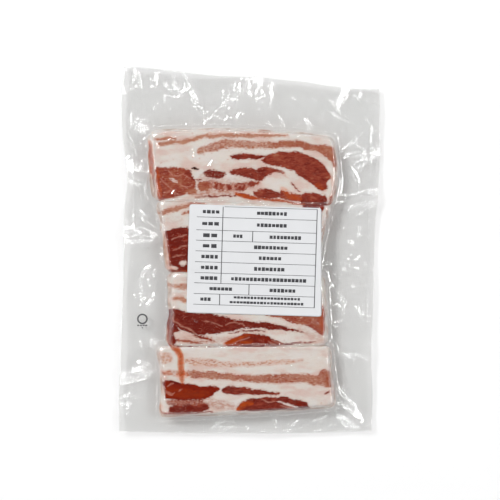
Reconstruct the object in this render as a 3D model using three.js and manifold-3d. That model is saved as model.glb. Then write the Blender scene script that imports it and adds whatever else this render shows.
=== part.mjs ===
// A vacuum pack of four thick pork belly slices with a paper label, lying flat on its back.
// Millimetres. X runs across the pouch, Y along it from the bottom seal to the top seal, Z up.
// The slices lie side by side, skin edge towards the top seal. The film is drawn tight over
// them, and stands out round them as a wide flat margin of two layers that are pressed together.

import * as THREE from "three";
import { mergeVertices } from "three/addons/utils/BufferGeometryUtils.js";
import Module from "manifold-3d";

const wasm = await Module();
wasm.setup();

// ---------------------------------------------------------------- driving dimensions

// The cut edges of the film: readings at equal steps along each edge of a 200 x 280 pouch.
const LEFT_X = [-102.9, -103.3, -101.7, -100.9, -100.1, -99.3, -99.3, -96.5, -100.1, -101.3, -98.9];
const RIGHT_X = [96.4, 97.3, 96.1, 97.0, 98.0, 98.7, 99.4, 101.8, 103.3, 103.2, 102.8];
const TOP_Y = [144.2, 143.0, 140.6, 138.3, 137.1, 136.3, 134.3, 132.3, 129.2, 127.2, 126.8];
const BOTTOM_Y = [-143.4, -144.8, -145.1, -145.0, -143.3];

// The slices from the top down. Corners: top left, top right, bottom right, bottom left.
// The bows are how far each side swells past a straight line: top, right, bottom, left.
const SLICES = [
  { thickness: 15.4, corners: [[-77.2, 91.8], [64.5, 87.3], [63.2, 34.8], [-72.6, 38.5]], bows: [3.6, 4, 0, 0.5] },
  { thickness: 15.8, corners: [[-71.4, 38.5], [64.0, 34.8], [52.5, -19.5], [-62.8, -18.5]], bows: [0, -2.5, 0, -1.2] },
  { thickness: 15.2, corners: [[-61.4, -18.5], [57.0, -19.5], [59.6, -75.5], [-63.0, -76.0]], bows: [0, 0.8, 0, -1.4] },
  { thickness: 14.6, corners: [[-72.4, -76.0], [62.4, -75.5], [66.6, -122.3], [-69.0, -129.8]], bows: [0, -1, 1.5, -2.6] },
];
const EDGE_RADIUS = 2.4; // rounding of a slice's upper edges under the film
const CORNER_BLEND = 5; // how far a slice's corner rounds off, seen from above
const CORNER_EASE = 9; // where the side's lines leave one slice for the next, from its corner
const GAP_BLEND = 3; // how far the film bridges the dip between two slices

// The film round the slices.
const FILM = 0.4; // both layers together, drawn a little thicker than they are
const FLARE = 7.5; // how far out the upper film takes to run down to the margin
const UNDERCUT = 6; // how far out the lower film takes to rise to the margin
const TUCK = 3.5; // how far the lower film's rise begins inside a slice's side
const SEAM_HEIGHT = 6.2; // the margin's height where it leaves the slices
const MARGIN_HEIGHT = 4.4; // and further out, where it droops a little
const DROOP_REACH = 16;
const LEAST_HEIGHT = 0.9; // the margin's upper face stays this far above the table
const WAVE = { height: 1.5, from: 5, to: 26 }; // the margin's ripple, growing outwards
const BASE_SINK = 1; // the lower film is drawn this deep under the slices, then cut off flat

// Folds in the margin: from, to, height and half width.
const FOLDS = [
  { from: [-78, 58], to: [-100, 60], height: 3.2, width: 7 },
  { from: [-70, 12], to: [-101, 9.5], height: 2.4, width: 5 },
  { from: [-74, -96], to: [-104, -101], height: 2.4, width: 5 },
  { from: [66, 34], to: [103, 42], height: 2.6, width: 5.5 },
  { from: [69, 66], to: [96, 76], height: 2.2, width: 6 },
  { from: [64, -78], to: [98, -80], height: 2.2, width: 7 },
  { from: [66, -122], to: [90, -140], height: 1.8, width: 6 },
  { from: [-40, 96], to: [-58, 143], height: 1.8, width: 7 },
  { from: [10, 96], to: [14, 137], height: 1.6, width: 6 },
  { from: [58, 92], to: [72, 130], height: 1.8, width: 7 },
];

// The paper label across the middle two slices.
const LABEL = { width: 105, height: 85, paper: 0.3, corner: 2, centre: [4.2, -8.6], turn: -1.75, clear: 0.35 };
const LABEL_STEP = 12; // how far the label takes to come down from the thicker slice to the next

// ---------------------------------------------------------------- small helpers

const { lerp, smoothstep, clamp, degToRad } = THREE.MathUtils;

// A smooth curve through equally spaced readings, t from 0 to 1.
function curveThrough(readings) {
  const curve = new THREE.SplineCurve(readings.map((value, i) => new THREE.Vector2(i, value)));
  return (t) => curve.getPoint(clamp(t, 0, 1)).y;
}

// The larger of a and b, with the crease between them rounded over a reach.
function softMax(a, b, reach) {
  const near = Math.max(reach - Math.abs(a - b), 0);
  return Math.max(a, b) + (near > 0 ? (near * near) / (4 * reach) : 0);
}

// Distance from (x, y) to a straight run, and how far along it the nearest point lies, 0 to 1.
function alongRun([ax, ay], [bx, by], x, y) {
  const [dx, dy] = [bx - ax, by - ay];
  const t = clamp(((x - ax) * dx + (y - ay) * dy) / (dx * dx + dy * dy), 0, 1);
  return { t, away: Math.hypot(x - ax - t * dx, y - ay - t * dy) };
}

// The mesh of a geometry, ready to be cut, and back again.
function solidFrom(geometry) {
  const bare = geometry.clone();
  bare.deleteAttribute("normal");
  bare.deleteAttribute("uv");
  const merged = mergeVertices(bare, 1e-4);
  return new wasm.Manifold(
    new wasm.Mesh({
      numProp: 3,
      vertProperties: new Float32Array(merged.attributes.position.array),
      triVerts: new Uint32Array(merged.index.array),
    }),
  );
}

function geometryFrom(solid) {
  const mesh = solid.getMesh();
  const geometry = new THREE.BufferGeometry();
  geometry.setAttribute("position", new THREE.BufferAttribute(mesh.vertProperties, 3));
  geometry.setIndex(new THREE.BufferAttribute(mesh.triVerts, 1));
  geometry.computeVertexNormals();
  return geometry;
}

// ---------------------------------------------------------------- the slices, seen from above

// How far (x, y) is outside one slice's outline; negative inside.
function outsideSlice({ corners, bows }, x, y) {
  return corners
    .map(([ax, ay], side) => {
      const [bx, by] = corners[(side + 1) % corners.length];
      const [dx, dy] = [bx - ax, by - ay];
      const length = Math.hypot(dx, dy);
      const along = clamp(((x - ax) * dx + (y - ay) * dy) / length / length, 0, 1);
      const swell = bows[side] * (1 - (2 * along - 1) ** 2);
      return ((x - ax) * -dy + (y - ay) * dx) / length - swell;
    })
    .reduce((a, b) => softMax(a, b, CORNER_BLEND));
}

// How far (x, y) is outside all of the slices.
const outsideSlices = (x, y) => Math.min(...SLICES.map((slice) => outsideSlice(slice, x, y)));

// X of the slices' left or right side at a given Y, easing over from one slice to the next.
function sideOfStack(upperCorner, lowerCorner, y) {
  const points = SLICES.flatMap(({ corners }) => [
    [corners[upperCorner][0], corners[upperCorner][1] - CORNER_EASE],
    [corners[lowerCorner][0], corners[lowerCorner][1] + CORNER_EASE],
  ]);
  const next = points.findIndex((point) => point[1] < y);
  const i = next < 0 ? points.length - 1 : Math.max(next, 1);
  const [above, below] = [points[i - 1], points[i]];
  return lerp(above[0], below[0], clamp((above[1] - y) / (above[1] - below[1]), 0, 1));
}
const leftOfStack = (y) => sideOfStack(0, 3, y);
const rightOfStack = (y) => sideOfStack(1, 2, y);

function lineAcross([ax, ay], [bx, by], bow, x) {
  const t = clamp((x - ax) / (bx - ax), 0, 1);
  return lerp(ay, by, t) + bow * (1 - (2 * t - 1) ** 2);
}
const topOfSlice = (slice, x) => lineAcross(slice.corners[0], slice.corners[1], slice.bows[0], x);
const bottomOfSlice = (slice, x) => lineAcross(slice.corners[3], slice.corners[2], -slice.bows[2], x);

// ---------------------------------------------------------------- heights of the film

// The margin's upper face.
function marginHeight(x, y) {
  const out = Math.max(outsideSlices(x, y), 0);
  const droop = lerp(MARGIN_HEIGHT, SEAM_HEIGHT, Math.exp(-out / DROOP_REACH));
  const ripple = Math.sin(x / 17 + 1.2 * Math.sin(y / 37)) * Math.cos(y / 21) + 0.5 * Math.sin(x / 8.5 - y / 11);
  const folds = FOLDS.map(({ from, to, height, width }) => {
    const { t, away } = alongRun(from, to, x, y);
    return height * Math.exp(-((away / width) ** 2)) * smoothstep(t, 0, 0.35);
  }).reduce((a, b) => a + b);
  const height = droop + WAVE.height * ripple * smoothstep(out, WAVE.from, WAVE.to) + folds;
  return softMax(height, LEAST_HEIGHT, 2);
}

// The upper film: over the slices, down into the dips between them, and out to the margin.
function frontHeight(x, y) {
  const margin = marginHeight(x, y);
  const lift = SLICES.map((slice) => {
    const out = outsideSlice(slice, x, y);
    const shoulder = slice.thickness - EDGE_RADIUS;
    if (out > 0) return (shoulder - margin) * Math.max(1 - out / FLARE, 0) ** 3;
    const round = Math.max(EDGE_RADIUS + out, 0);
    return shoulder - margin + Math.sqrt(EDGE_RADIUS ** 2 - round ** 2);
  }).reduce((a, b) => softMax(a, b, Math.min(GAP_BLEND, a, b)));
  return margin + lift;
}

// The lower film: flat under the slices, and up to the margin outside them.
function backHeight(x, y) {
  const rise = smoothstep(outsideSlices(x, y), -TUCK, UNDERCUT);
  return lerp(-BASE_SINK, marginHeight(x, y) - FILM, rise);
}

// ---------------------------------------------------------------- the pouch

// Grid lines follow the slices, close together where the film turns over an edge.
const spread = (steps) => Array.from({ length: steps + 1 }, (_, i) => i / steps);
const WALL = [-6, -4, -2, -0.8, 0.1, 1, 2.4, 4.5, 8]; // lines across an outer side, from outside to inside
const DIP = [-6, -2.4, -0.9, 0, 0.9, 2.4, 6]; // lines across the dip between two slices
const MARGIN_STEPS = { side: 6, bottom: 3, top: 10 };
const SLICE_STEPS = { across: 12, along: 4 };
const PASSES = 6; // a grid point's X depends on its Y and the other way round

const leftEdge = curveThrough(LEFT_X);
const rightEdge = curveThrough(RIGHT_X);
const topEdge = curveThrough(TOP_Y);
const bottomEdge = curveThrough(BOTTOM_Y);

// Lines between two limits, without the limits themselves.
const between = (a, b, steps) => spread(steps).slice(1, -1).map((t) => lerp(a, b, t));

// X of every upright grid line where it passes height y.
function columnsAt(y, up) {
  const [left, right] = [leftOfStack(y), rightOfStack(y)];
  const leftWall = WALL.map((w) => left + w);
  const rightWall = WALL.map((w) => right - w).reverse();
  const [outerLeft, outerRight] = [leftEdge(up), rightEdge(up)];
  return [
    outerLeft,
    ...between(outerLeft, leftWall[0], MARGIN_STEPS.side),
    ...leftWall,
    ...between(leftWall[leftWall.length - 1], rightWall[0], SLICE_STEPS.across),
    ...rightWall,
    ...between(rightWall[rightWall.length - 1], outerRight, MARGIN_STEPS.side),
    outerRight,
  ];
}

// Y of every level grid line where it passes x, from the bottom up.
function rowsAt(x, across) {
  const upwards = [...SLICES].reverse();
  const [outerBottom, outerTop] = [bottomEdge(across), topEdge(across)];
  const bottomWall = WALL.map((w) => bottomOfSlice(upwards[0], x) + w);
  const topWall = WALL.map((w) => topOfSlice(SLICES[0], x) - w).reverse();
  const lines = [outerBottom, ...between(outerBottom, bottomWall[0], MARGIN_STEPS.bottom), ...bottomWall];
  for (const slice of upwards.slice(0, -1)) {
    const dip = DIP.map((w) => topOfSlice(slice, x) + w);
    lines.push(...between(lines[lines.length - 1], dip[0], SLICE_STEPS.along), ...dip);
  }
  lines.push(...between(lines[lines.length - 1], topWall[0], SLICE_STEPS.along), ...topWall);
  lines.push(...between(topWall[topWall.length - 1], outerTop, MARGIN_STEPS.top), outerTop);
  return lines;
}

// A box with one cell for each grid square, both faces drawn out to the film's shape.
function pouchGeometry() {
  const columns = columnsAt(0, 0.5).length - 1;
  const rows = rowsAt(0, 0.5).length - 1;
  const geometry = new THREE.BoxGeometry(1, 1, 1, columns, rows, 1);
  const position = geometry.attributes.position;
  for (let n = 0; n < position.count; n++) {
    const i = Math.round((position.getX(n) + 0.5) * columns);
    const j = Math.round((position.getY(n) + 0.5) * rows);
    let [x, y, across, up] = [0, 0, 0.5, 0.5];
    for (let pass = 0; pass < PASSES; pass++) {
      x = columnsAt(y, up)[i];
      across = (x - leftEdge(up)) / (rightEdge(up) - leftEdge(up));
      y = rowsAt(x, across)[j];
      up = (y - bottomEdge(across)) / (topEdge(across) - bottomEdge(across));
    }
    const height = position.getZ(n) > 0 ? frontHeight(x, y) : backHeight(x, y);
    position.setXYZ(n, x, y, height);
  }
  const table = new THREE.BoxGeometry(400, 400, 10).translate(0, 0, -5);
  return geometryFrom(solidFrom(geometry).subtract(solidFrom(table)));
}

// ---------------------------------------------------------------- the label

// The label lies on the upper of the two slices and steps down a little to the other.
function labelUnderside(x, y) {
  const [upper, lower] = [SLICES[1], SLICES[2]];
  const below = topOfSlice(lower, x) - y;
  return lerp(upper.thickness, lower.thickness, smoothstep(below, 0, LABEL_STEP)) + LABEL.clear;
}

function roundedRectangle(width, height, radius) {
  const [x, y] = [width / 2, height / 2];
  const shape = new THREE.Shape();
  shape.moveTo(-x + radius, -y);
  shape.absarc(x - radius, -y + radius, radius, -Math.PI / 2, 0);
  shape.absarc(x - radius, y - radius, radius, 0, Math.PI / 2);
  shape.absarc(-x + radius, y - radius, radius, Math.PI / 2, Math.PI);
  shape.absarc(-x + radius, -y + radius, radius, Math.PI, 1.5 * Math.PI);
  return shape;
}

function labelGeometry() {
  const place = (geometry) =>
    geometry.rotateZ(degToRad(LABEL.turn)).translate(LABEL.centre[0], LABEL.centre[1], 0);
  const sheet = place(new THREE.BoxGeometry(LABEL.width + 2, LABEL.height + 2, 1, 1, 24, 1));
  const position = sheet.attributes.position;
  for (let n = 0; n < position.count; n++) {
    const [x, y] = [position.getX(n), position.getY(n)];
    position.setZ(n, labelUnderside(x, y) + (position.getZ(n) > 0 ? LABEL.paper : 0));
  }
  const outline = roundedRectangle(LABEL.width, LABEL.height, LABEL.corner);
  const punch = new THREE.ExtrudeGeometry(outline, { depth: 40, bevelEnabled: false, curveSegments: 4 });
  return geometryFrom(solidFrom(sheet).intersect(solidFrom(place(punch))));
}

// ---------------------------------------------------------------- the pack

const filmMaterial = new THREE.MeshStandardMaterial({ color: 0xd9d8d4, roughness: 0.25, metalness: 0 });
const paperMaterial = new THREE.MeshStandardMaterial({ color: 0xebebee, roughness: 0.55, metalness: 0 });

const pouch = new THREE.Mesh(pouchGeometry(), filmMaterial);
pouch.name = "pouch";

const label = new THREE.Mesh(labelGeometry(), paperMaterial);
label.name = "label";

const pack = new THREE.Group();
pack.name = "pork_belly_pack";
pack.add(pouch, label);

// The origin is the middle of the pouch, on the table.
pouch.geometry.computeBoundingBox();
const middle = pouch.geometry.boundingBox.getCenter(new THREE.Vector3());
pouch.position.set(-middle.x, -middle.y, 0);
label.position.copy(pouch.position);

export default pack;
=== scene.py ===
# %% [markdown]
# # A vacuum pack of pork belly
# Four thick slices lie side by side in a clear pouch. The air has been drawn out, so the upper
# film clings to the meat, and the two layers of film lie pressed together as a wide wrinkled
# margin round it. A paper label is stuck on top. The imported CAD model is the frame: it gives the
# pouch and the label as plain solids. Here they are replaced by real film, meat, juice and paper.

# %% Load the frame
import math

import bmesh
import bpy
import numpy as np
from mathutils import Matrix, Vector


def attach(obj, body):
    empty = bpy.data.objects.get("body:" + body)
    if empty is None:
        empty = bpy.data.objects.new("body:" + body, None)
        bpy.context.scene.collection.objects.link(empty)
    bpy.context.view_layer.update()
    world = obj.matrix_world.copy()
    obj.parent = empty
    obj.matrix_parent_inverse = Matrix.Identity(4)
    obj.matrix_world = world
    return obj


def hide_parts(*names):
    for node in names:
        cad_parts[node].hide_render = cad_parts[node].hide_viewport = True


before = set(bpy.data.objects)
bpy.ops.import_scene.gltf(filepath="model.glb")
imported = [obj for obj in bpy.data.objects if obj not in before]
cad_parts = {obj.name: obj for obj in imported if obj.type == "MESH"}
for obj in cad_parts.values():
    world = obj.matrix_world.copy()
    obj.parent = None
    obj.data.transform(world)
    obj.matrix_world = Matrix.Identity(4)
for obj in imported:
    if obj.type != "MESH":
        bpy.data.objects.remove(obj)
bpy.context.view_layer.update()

MM = 0.001

# %% [markdown]
# ## Where the camera stands
# The pack was photographed from straight above, so a long lens looks down on it. The camera comes
# first because everything else is judged through it. A view from above has almost no perspective,
# and 100 mm over a 36 mm sensor keeps it that way. `FIELD` is how much of the table the square
# picture spans.

# %% Camera
FIELD = 395.0  # mm of table across the picture
LENS, SENSOR = 100.0, 36.0
AIM = (0.3, 0.0)  # mm, the middle of the picture on the table
MARGIN_PLANE = 5.0  # mm, the height at which FIELD is measured


def make_camera():
    camera = bpy.data.objects.new("camera", bpy.data.cameras.new("camera"))
    camera.data.lens, camera.data.sensor_width = LENS, SENSOR
    height = FIELD * LENS / SENSOR + MARGIN_PLANE
    camera.location = (AIM[0] * MM, AIM[1] * MM, height * MM)
    camera.data.clip_start, camera.data.clip_end = 0.05, 20.0
    bpy.context.scene.collection.objects.link(camera)
    bpy.context.scene.camera = camera
    print("camera height in mm:", round(height))


make_camera()

# %% [markdown]
# ## The pouch's outline and the slices' plan
# All the shapes hang on the same few sizes as the CAD model: readings of the pouch's cut edges,
# and each slice's corners, thickness and bowed sides. Lengths are in millimetres, and the origin
# is the middle of the pouch, as in the frame. The outline readings stand in the pouch's own
# measuring frame, so `SHIFT` moves them until the outline's box is centred.

# %% Sizes shared with the CAD model
LEFT_X = [-102.9, -103.3, -101.7, -100.9, -100.1, -99.3, -99.3, -96.5, -100.1, -101.3, -98.9]
RIGHT_X = [96.4, 97.3, 96.1, 97.0, 98.0, 98.7, 99.4, 101.8, 103.3, 103.2, 102.8]
TOP_Y = [144.2, 143.0, 140.6, 138.3, 137.1, 136.3, 134.3, 132.3, 129.2, 127.2, 126.8]
BOTTOM_Y = [-143.4, -144.8, -145.1, -145.0, -143.3]

SLICES = [  # corners and bows run clockwise from the top left corner and the top side
    dict(thickness=15.4, bows=(3.6, 4, 0, 0.5),
         corners=[(-77.2, 91.8), (64.5, 87.3), (63.2, 34.8), (-72.6, 38.5)]),
    dict(thickness=15.8, bows=(0, -2.5, 0, -1.2),
         corners=[(-71.4, 38.5), (64.0, 34.8), (52.5, -19.5), (-62.8, -18.5)]),
    dict(thickness=15.2, bows=(0, 0.8, 0, -1.4),
         corners=[(-61.4, -18.5), (57.0, -19.5), (59.6, -75.5), (-63.0, -76.0)]),
    dict(thickness=14.6, bows=(0, -1, 1.5, -2.6),
         corners=[(-72.4, -76.0), (62.4, -75.5), (66.6, -122.3), (-69.0, -129.8)]),
]
EDGE_RADIUS, CORNER_BLEND, GAP_BLEND = 2.4, 5.0, 3.0  # rounding of the slices and of the dips
FLARE, UNDERCUT, TUCK, BASE_SINK = 7.5, 6.0, 3.5, 1.0  # how the two films meet beside the meat
SEAM_HEIGHT, MARGIN_HEIGHT, DROOP_REACH = 6.2, 4.4, 16.0  # the margin droops from seam to edge
LEAST_HEIGHT, LEAST_BLEND = 0.9, 2.0
WAVE_HEIGHT, WAVE_FROM, WAVE_TO = 1.5, 5.0, 26.0  # ripples grow over this stretch outwards
FOLDS = [  # from, to, height and half width of the broad folds in the margin
    ((-78, 58), (-100, 60), 3.2, 7),
    ((-70, 12), (-101, 9.5), 2.4, 5),
    ((-74, -96), (-104, -101), 2.4, 5),
    ((66, 34), (103, 42), 2.6, 5.5),
    ((69, 66), (96, 76), 2.2, 6),
    ((64, -78), (98, -80), 2.2, 7),
    ((66, -122), (90, -140), 1.8, 6),
    ((-40, 96), (-58, 143), 1.8, 7),
    ((10, 96), (14, 137), 1.6, 6),
    ((58, 92), (72, 130), 1.8, 7),
]

# %% [markdown]
# ## Heights as formulas
# The film is a soft sheet over hard-edged slabs, so its height can be written as a formula of the
# place (x, y): a rounded slab for each slice, a flare down to the margin, and ripples in the
# margin. A cloth simulation could find much the same form, but the formula matches the CAD solid
# exactly, and the meat below can use it too, so nothing pokes through the film.

# %% Height formulas
def between(a, b, c, d, w):
    """A smooth curve from b to c at share w of the way, on its way from a to d."""
    return b + 0.5 * w * (c - a + w * (2 * a - 5 * b + 4 * c - d + w * (3 * (b - c) + d - a)))


def curve_through(readings, t):
    """A smooth curve through equally spaced readings, for an array t from 0 to 1."""
    r = np.asarray(readings, float)
    last = len(r) - 1
    p = np.clip(t, 0, 1) * last
    i = np.minimum(p.astype(int), last - 1)
    return between(r[np.maximum(i - 1, 0)], r[i], r[i + 1], r[np.minimum(i + 2, last)], p - i)


def smoothstep(x, low, high):
    t = np.clip((x - low) / (high - low), 0, 1)
    return t * t * (3 - 2 * t)


def soft_max(a, b, reach):
    """The greater of two values, with a smooth change where they are within reach of each other."""
    near = np.maximum(reach - np.abs(a - b), 0)
    return np.maximum(a, b) + near * near / (4 * np.maximum(reach, 1e-9))


def near_run(start, end, x, y):
    """How far points are from a straight run, and how far along it, 0 to 1, they lie."""
    (ax, ay), (bx, by) = start, end
    dx, dy = bx - ax, by - ay
    t = np.clip(((x - ax) * dx + (y - ay) * dy) / (dx * dx + dy * dy), 0, 1)
    return np.hypot(x - ax - t * dx, y - ay - t * dy), t


def outside_slice(piece, x, y, grow=(0, 0, 0, 0)):
    """How far points are outside a slice's outline, each side moved out by its share of grow."""
    far = None
    for side, (ax, ay) in enumerate(piece["corners"]):
        bx, by = piece["corners"][(side + 1) % 4]
        dx, dy = bx - ax, by - ay
        length = math.hypot(dx, dy)
        along = np.clip(((x - ax) * dx + (y - ay) * dy) / length**2, 0, 1)
        swell = piece["bows"][side] * (1 - (2 * along - 1) ** 2) + grow[side]
        away = ((y - ay) * dx - (x - ax) * dy) / length - swell
        far = away if far is None else soft_max(far, away, CORNER_BLEND)
    return far


def outside_slices(x, y):
    return np.minimum.reduce([outside_slice(piece, x, y) for piece in SLICES])


def margin_height(x, y):
    """The upper face of the flat margin, which ripples and folds more towards its edge."""
    out = np.maximum(outside_slices(x, y), 0)
    droop = MARGIN_HEIGHT + (SEAM_HEIGHT - MARGIN_HEIGHT) * np.exp(-out / DROOP_REACH)
    ripple = np.sin(x / 17 + 1.2 * np.sin(y / 37)) * np.cos(y / 21) + 0.5 * np.sin(x / 8.5 - y / 11)
    height = droop + WAVE_HEIGHT * ripple * smoothstep(out, WAVE_FROM, WAVE_TO)
    for start, end, tall, width in FOLDS:
        away, t = near_run(start, end, x, y)
        height = height + tall * np.exp(-((away / width) ** 2)) * smoothstep(t, 0, 0.35)
    return soft_max(height, LEAST_HEIGHT, LEAST_BLEND)


def slice_lift(piece, x, y, margin):
    """How far one slice lifts the film above the margin."""
    out = outside_slice(piece, x, y)
    shoulder = piece["thickness"] - EDGE_RADIUS
    flare = (shoulder - margin) * np.clip(1 - out / FLARE, 0, 1) ** 3
    round_off = np.clip(EDGE_RADIUS + out, 0, EDGE_RADIUS)
    dome = shoulder - margin + np.sqrt(EDGE_RADIUS**2 - round_off**2)
    return np.where(out > 0, flare, dome)


def front_height(x, y):
    """The upper film: over the slices, into the dips between them and out to the margin."""
    margin = margin_height(x, y)
    lift = None
    for piece in SLICES:
        one = slice_lift(piece, x, y, margin)
        if lift is None:
            lift = one
        else:
            lift = soft_max(lift, one, np.clip(np.minimum(lift, one), 0, GAP_BLEND))
    return margin + lift


def outline(u, v):
    """Places inside the pouch's cut edges, u across and v along from 0 to 1, centred."""
    left, right = curve_through(LEFT_X, v), curve_through(RIGHT_X, v)
    bottom, top = curve_through(BOTTOM_Y, u), curve_through(TOP_Y, u)
    return left + (right - left) * u, bottom + (top - bottom) * v


fine = np.linspace(0, 1, 2001)
edge_x = np.concatenate([curve_through(LEFT_X, fine), curve_through(RIGHT_X, fine)])
edge_y = np.concatenate([curve_through(BOTTOM_Y, fine), curve_through(TOP_Y, fine)])
SHIFT = -np.array([edge_x.min() + edge_x.max(), edge_y.min() + edge_y.max()]) / 2
print("outline box in mm:", np.ptp(edge_x).round(2), np.ptp(edge_y).round(2), "shift", SHIFT.round(2))
print("film's height over slice 2 in mm:", float(front_height(np.array([0.0]), np.array([8.0]))[0]))

# %% [markdown]
# ## Helpers for meshes
# Every piece starts from a bmesh operator, and then its points are moved to their places by the
# formulas above. Moving points through numpy arrays is far quicker than one at a time, and the
# sheets here have tens of thousands. `PX` turns a reading from the picture into millimetres, so
# that a streak of lean or a crease can be noted down where it is seen.

# %% Mesh helpers
PX = 0.79  # mm of margin for each pixel of the picture
PICTURE_MIDDLE = (249.7, 249.5)  # px, the middle of the measuring frame
RAISED = 0.986  # what lies on the slices is nearer the lens, so it looks this much larger


def at(points, scale=1.0):
    """Readings (px across, px down, and any widths in px) as millimetres."""
    read = np.asarray(points, float)
    place = np.empty_like(read)
    place[:, 0] = (read[:, 0] - PICTURE_MIDDLE[0]) * PX * scale
    place[:, 1] = (PICTURE_MIDDLE[1] - read[:, 1]) * PX * scale
    place[:, 2:] = read[:, 2:] * PX * scale
    return place


def oblong(bm, cells, size, middle):
    """A flat grid of some size round its middle."""
    made = bmesh.ops.create_grid(bm, x_segments=cells[0], y_segments=cells[1], size=0.5)["verts"]
    bmesh.ops.scale(bm, vec=(*size, 1), verts=made)
    bmesh.ops.translate(bm, vec=(*middle, 0), verts=made)


def thicken(bm):
    """Gives the flat faces so far an underside one level down, and walls."""
    lower = bmesh.ops.extrude_face_region(bm, geom=bm.faces[:])["geom"]
    under = [part for part in lower if isinstance(part, bmesh.types.BMVert)]
    bmesh.ops.translate(bm, vec=(0, 0, -1), verts=under)
    bmesh.ops.recalc_face_normals(bm, faces=bm.faces)


def slab(bm, cells):
    """The unit square as a slab: points with z = 0 are its top, those with z = -1 its bottom."""
    oblong(bm, cells, (1, 1), (0.5, 0.5))
    thicken(bm)


def coordinates(mesh):
    co = np.empty(len(mesh.vertices) * 3)
    mesh.vertices.foreach_get("co", co)
    return co.reshape(-1, 3)


def piece_from(bm, name, move):
    """A smooth-shaded object from a bmesh, its points moved by a function of their places."""
    mesh = bpy.data.meshes.new(name)
    bm.to_mesh(mesh)
    bm.free()
    x, y, z = move(*coordinates(mesh).T)
    placed = np.column_stack([x + SHIFT[0], y + SHIFT[1], z]) * MM
    mesh.vertices.foreach_set("co", placed.ravel())
    mesh.shade_smooth()
    mesh.update()
    made = bpy.data.objects.new(name, mesh)
    bpy.context.scene.collection.objects.link(made)
    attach(made, "root")
    low, high = coordinates(mesh).min(0) / MM, coordinates(mesh).max(0) / MM
    print(f"{name}: {len(mesh.polygons)} faces, from {low.round(1)} to {high.round(1)} mm")
    return made


def store(mesh, name, values):
    attribute = mesh.attributes.new(name, "FLOAT", "POINT")
    attribute.data.foreach_set("value", np.asarray(values, np.float32))

# %% [markdown]
# ## Helpers for materials
# A material is a small graph of nodes. These few lines make a node, set its sockets and join it,
# so that each material below reads as a list of what it is made of. Patterns read the piece's own
# Object coordinates, which are metres here, so a noise of scale 1000 has grains of about 1 mm.

# %% Material helpers
class Graph:
    """A material's nodes, made and joined in one line each."""

    def __init__(self, name):
        self.material = bpy.data.materials.new(name)
        self.material.use_nodes = True
        self.tree = self.material.node_tree
        self.tree.nodes.clear()
        self.output = self.tree.nodes.new("ShaderNodeOutputMaterial")

    def node(self, kind, inputs=None, **settings):
        made = self.tree.nodes.new("ShaderNode" + kind)
        for key, value in settings.items():
            setattr(made, key, value)
        for key, value in (inputs or {}).items():
            self.put(made, key, value)
        return made

    def put(self, node, key, value):
        if isinstance(value, bpy.types.NodeSocket):
            self.tree.links.new(value, node.inputs[key])
        else:
            node.inputs[key].default_value = value

    def math(self, operation, a, b=0.0, clamp=False):
        return self.node("Math", {0: a, 1: b}, operation=operation, use_clamp=clamp).outputs[0]

    def scaled(self, value, factor, offset):
        return self.node("Math", {0: value, 1: factor, 2: offset}, operation="MULTIPLY_ADD").outputs[0]

    def centred(self, value):
        return self.math("SUBTRACT", value, 0.5)

    def patchy(self, amount, noise, *limits):
        """An amount that an eased noise lets through more in some places than in others."""
        return self.math("MULTIPLY", amount, self.ease(noise, *limits))

    def ease(self, value, low, high, to_low=0.0, to_high=1.0):
        inputs = {"Value": value, "From Min": low, "From Max": high}
        inputs |= {"To Min": to_low, "To Max": to_high}
        return self.node("MapRange", inputs, interpolation_type="SMOOTHSTEP").outputs["Result"]

    def blend(self, share, a, b):
        return self.node("Mix", {0: share, 6: a, 7: b}, data_type="RGBA").outputs[2]

    def noise(self, scale, detail=3.0, rough=0.5, stretch=(1, 1, 1), distortion=0.0):
        where = self.node("TexCoord").outputs["Object"]
        if tuple(stretch) != (1, 1, 1):
            where = self.node("Mapping", {"Vector": where, "Scale": stretch}).outputs[0]
        inputs = {"Vector": where, "Scale": scale, "Detail": detail}
        inputs |= {"Roughness": rough, "Distortion": distortion}
        return self.node("TexNoise", inputs).outputs["Fac"]

    def attribute(self, name):
        return self.node("Attribute", attribute_name=name).outputs["Fac"]

    def finish(self, shader):
        self.tree.links.new(shader, self.output.inputs["Surface"])
        return self.material


def rgb(red, green, blue):
    """A colour given as it looks on a screen, 0 to 255, as the linear light that shaders need."""
    shares = [c / 255 for c in (red, green, blue)]
    return tuple(c / 12.92 if c < 0.0405 else ((c + 0.055) / 1.055) ** 2.4 for c in shares) + (1.0,)


FILM_SHARE = 0.91  # of the light that comes back through the upper film
BRIGHTEST = 0.95  # no finish sends back more than this share


def seen(red, green, blue):
    """A colour as it looks through the film, turned into the colour of what lies under it."""
    return tuple(min(c / FILM_SHARE, BRIGHTEST) for c in rgb(red, green, blue)[:3]) + (1.0,)


print("pale fat under the film:", [round(c, 2) for c in seen(217, 207, 200)])

# %% [markdown]
# ## The film
# The pouch is one closed bag. Its upper and lower films are modelled together: a fine grid is
# extruded into a thin slab, then the top is laid over the meat and the bottom flat on the table.
# In the margin the two films lie pressed together. Clear film shows only by its creases, so each
# one that can be seen is noted down as a line with a height and a width, and raised as a ridge
# with a sharp back, because film folds rather than bends.

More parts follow.
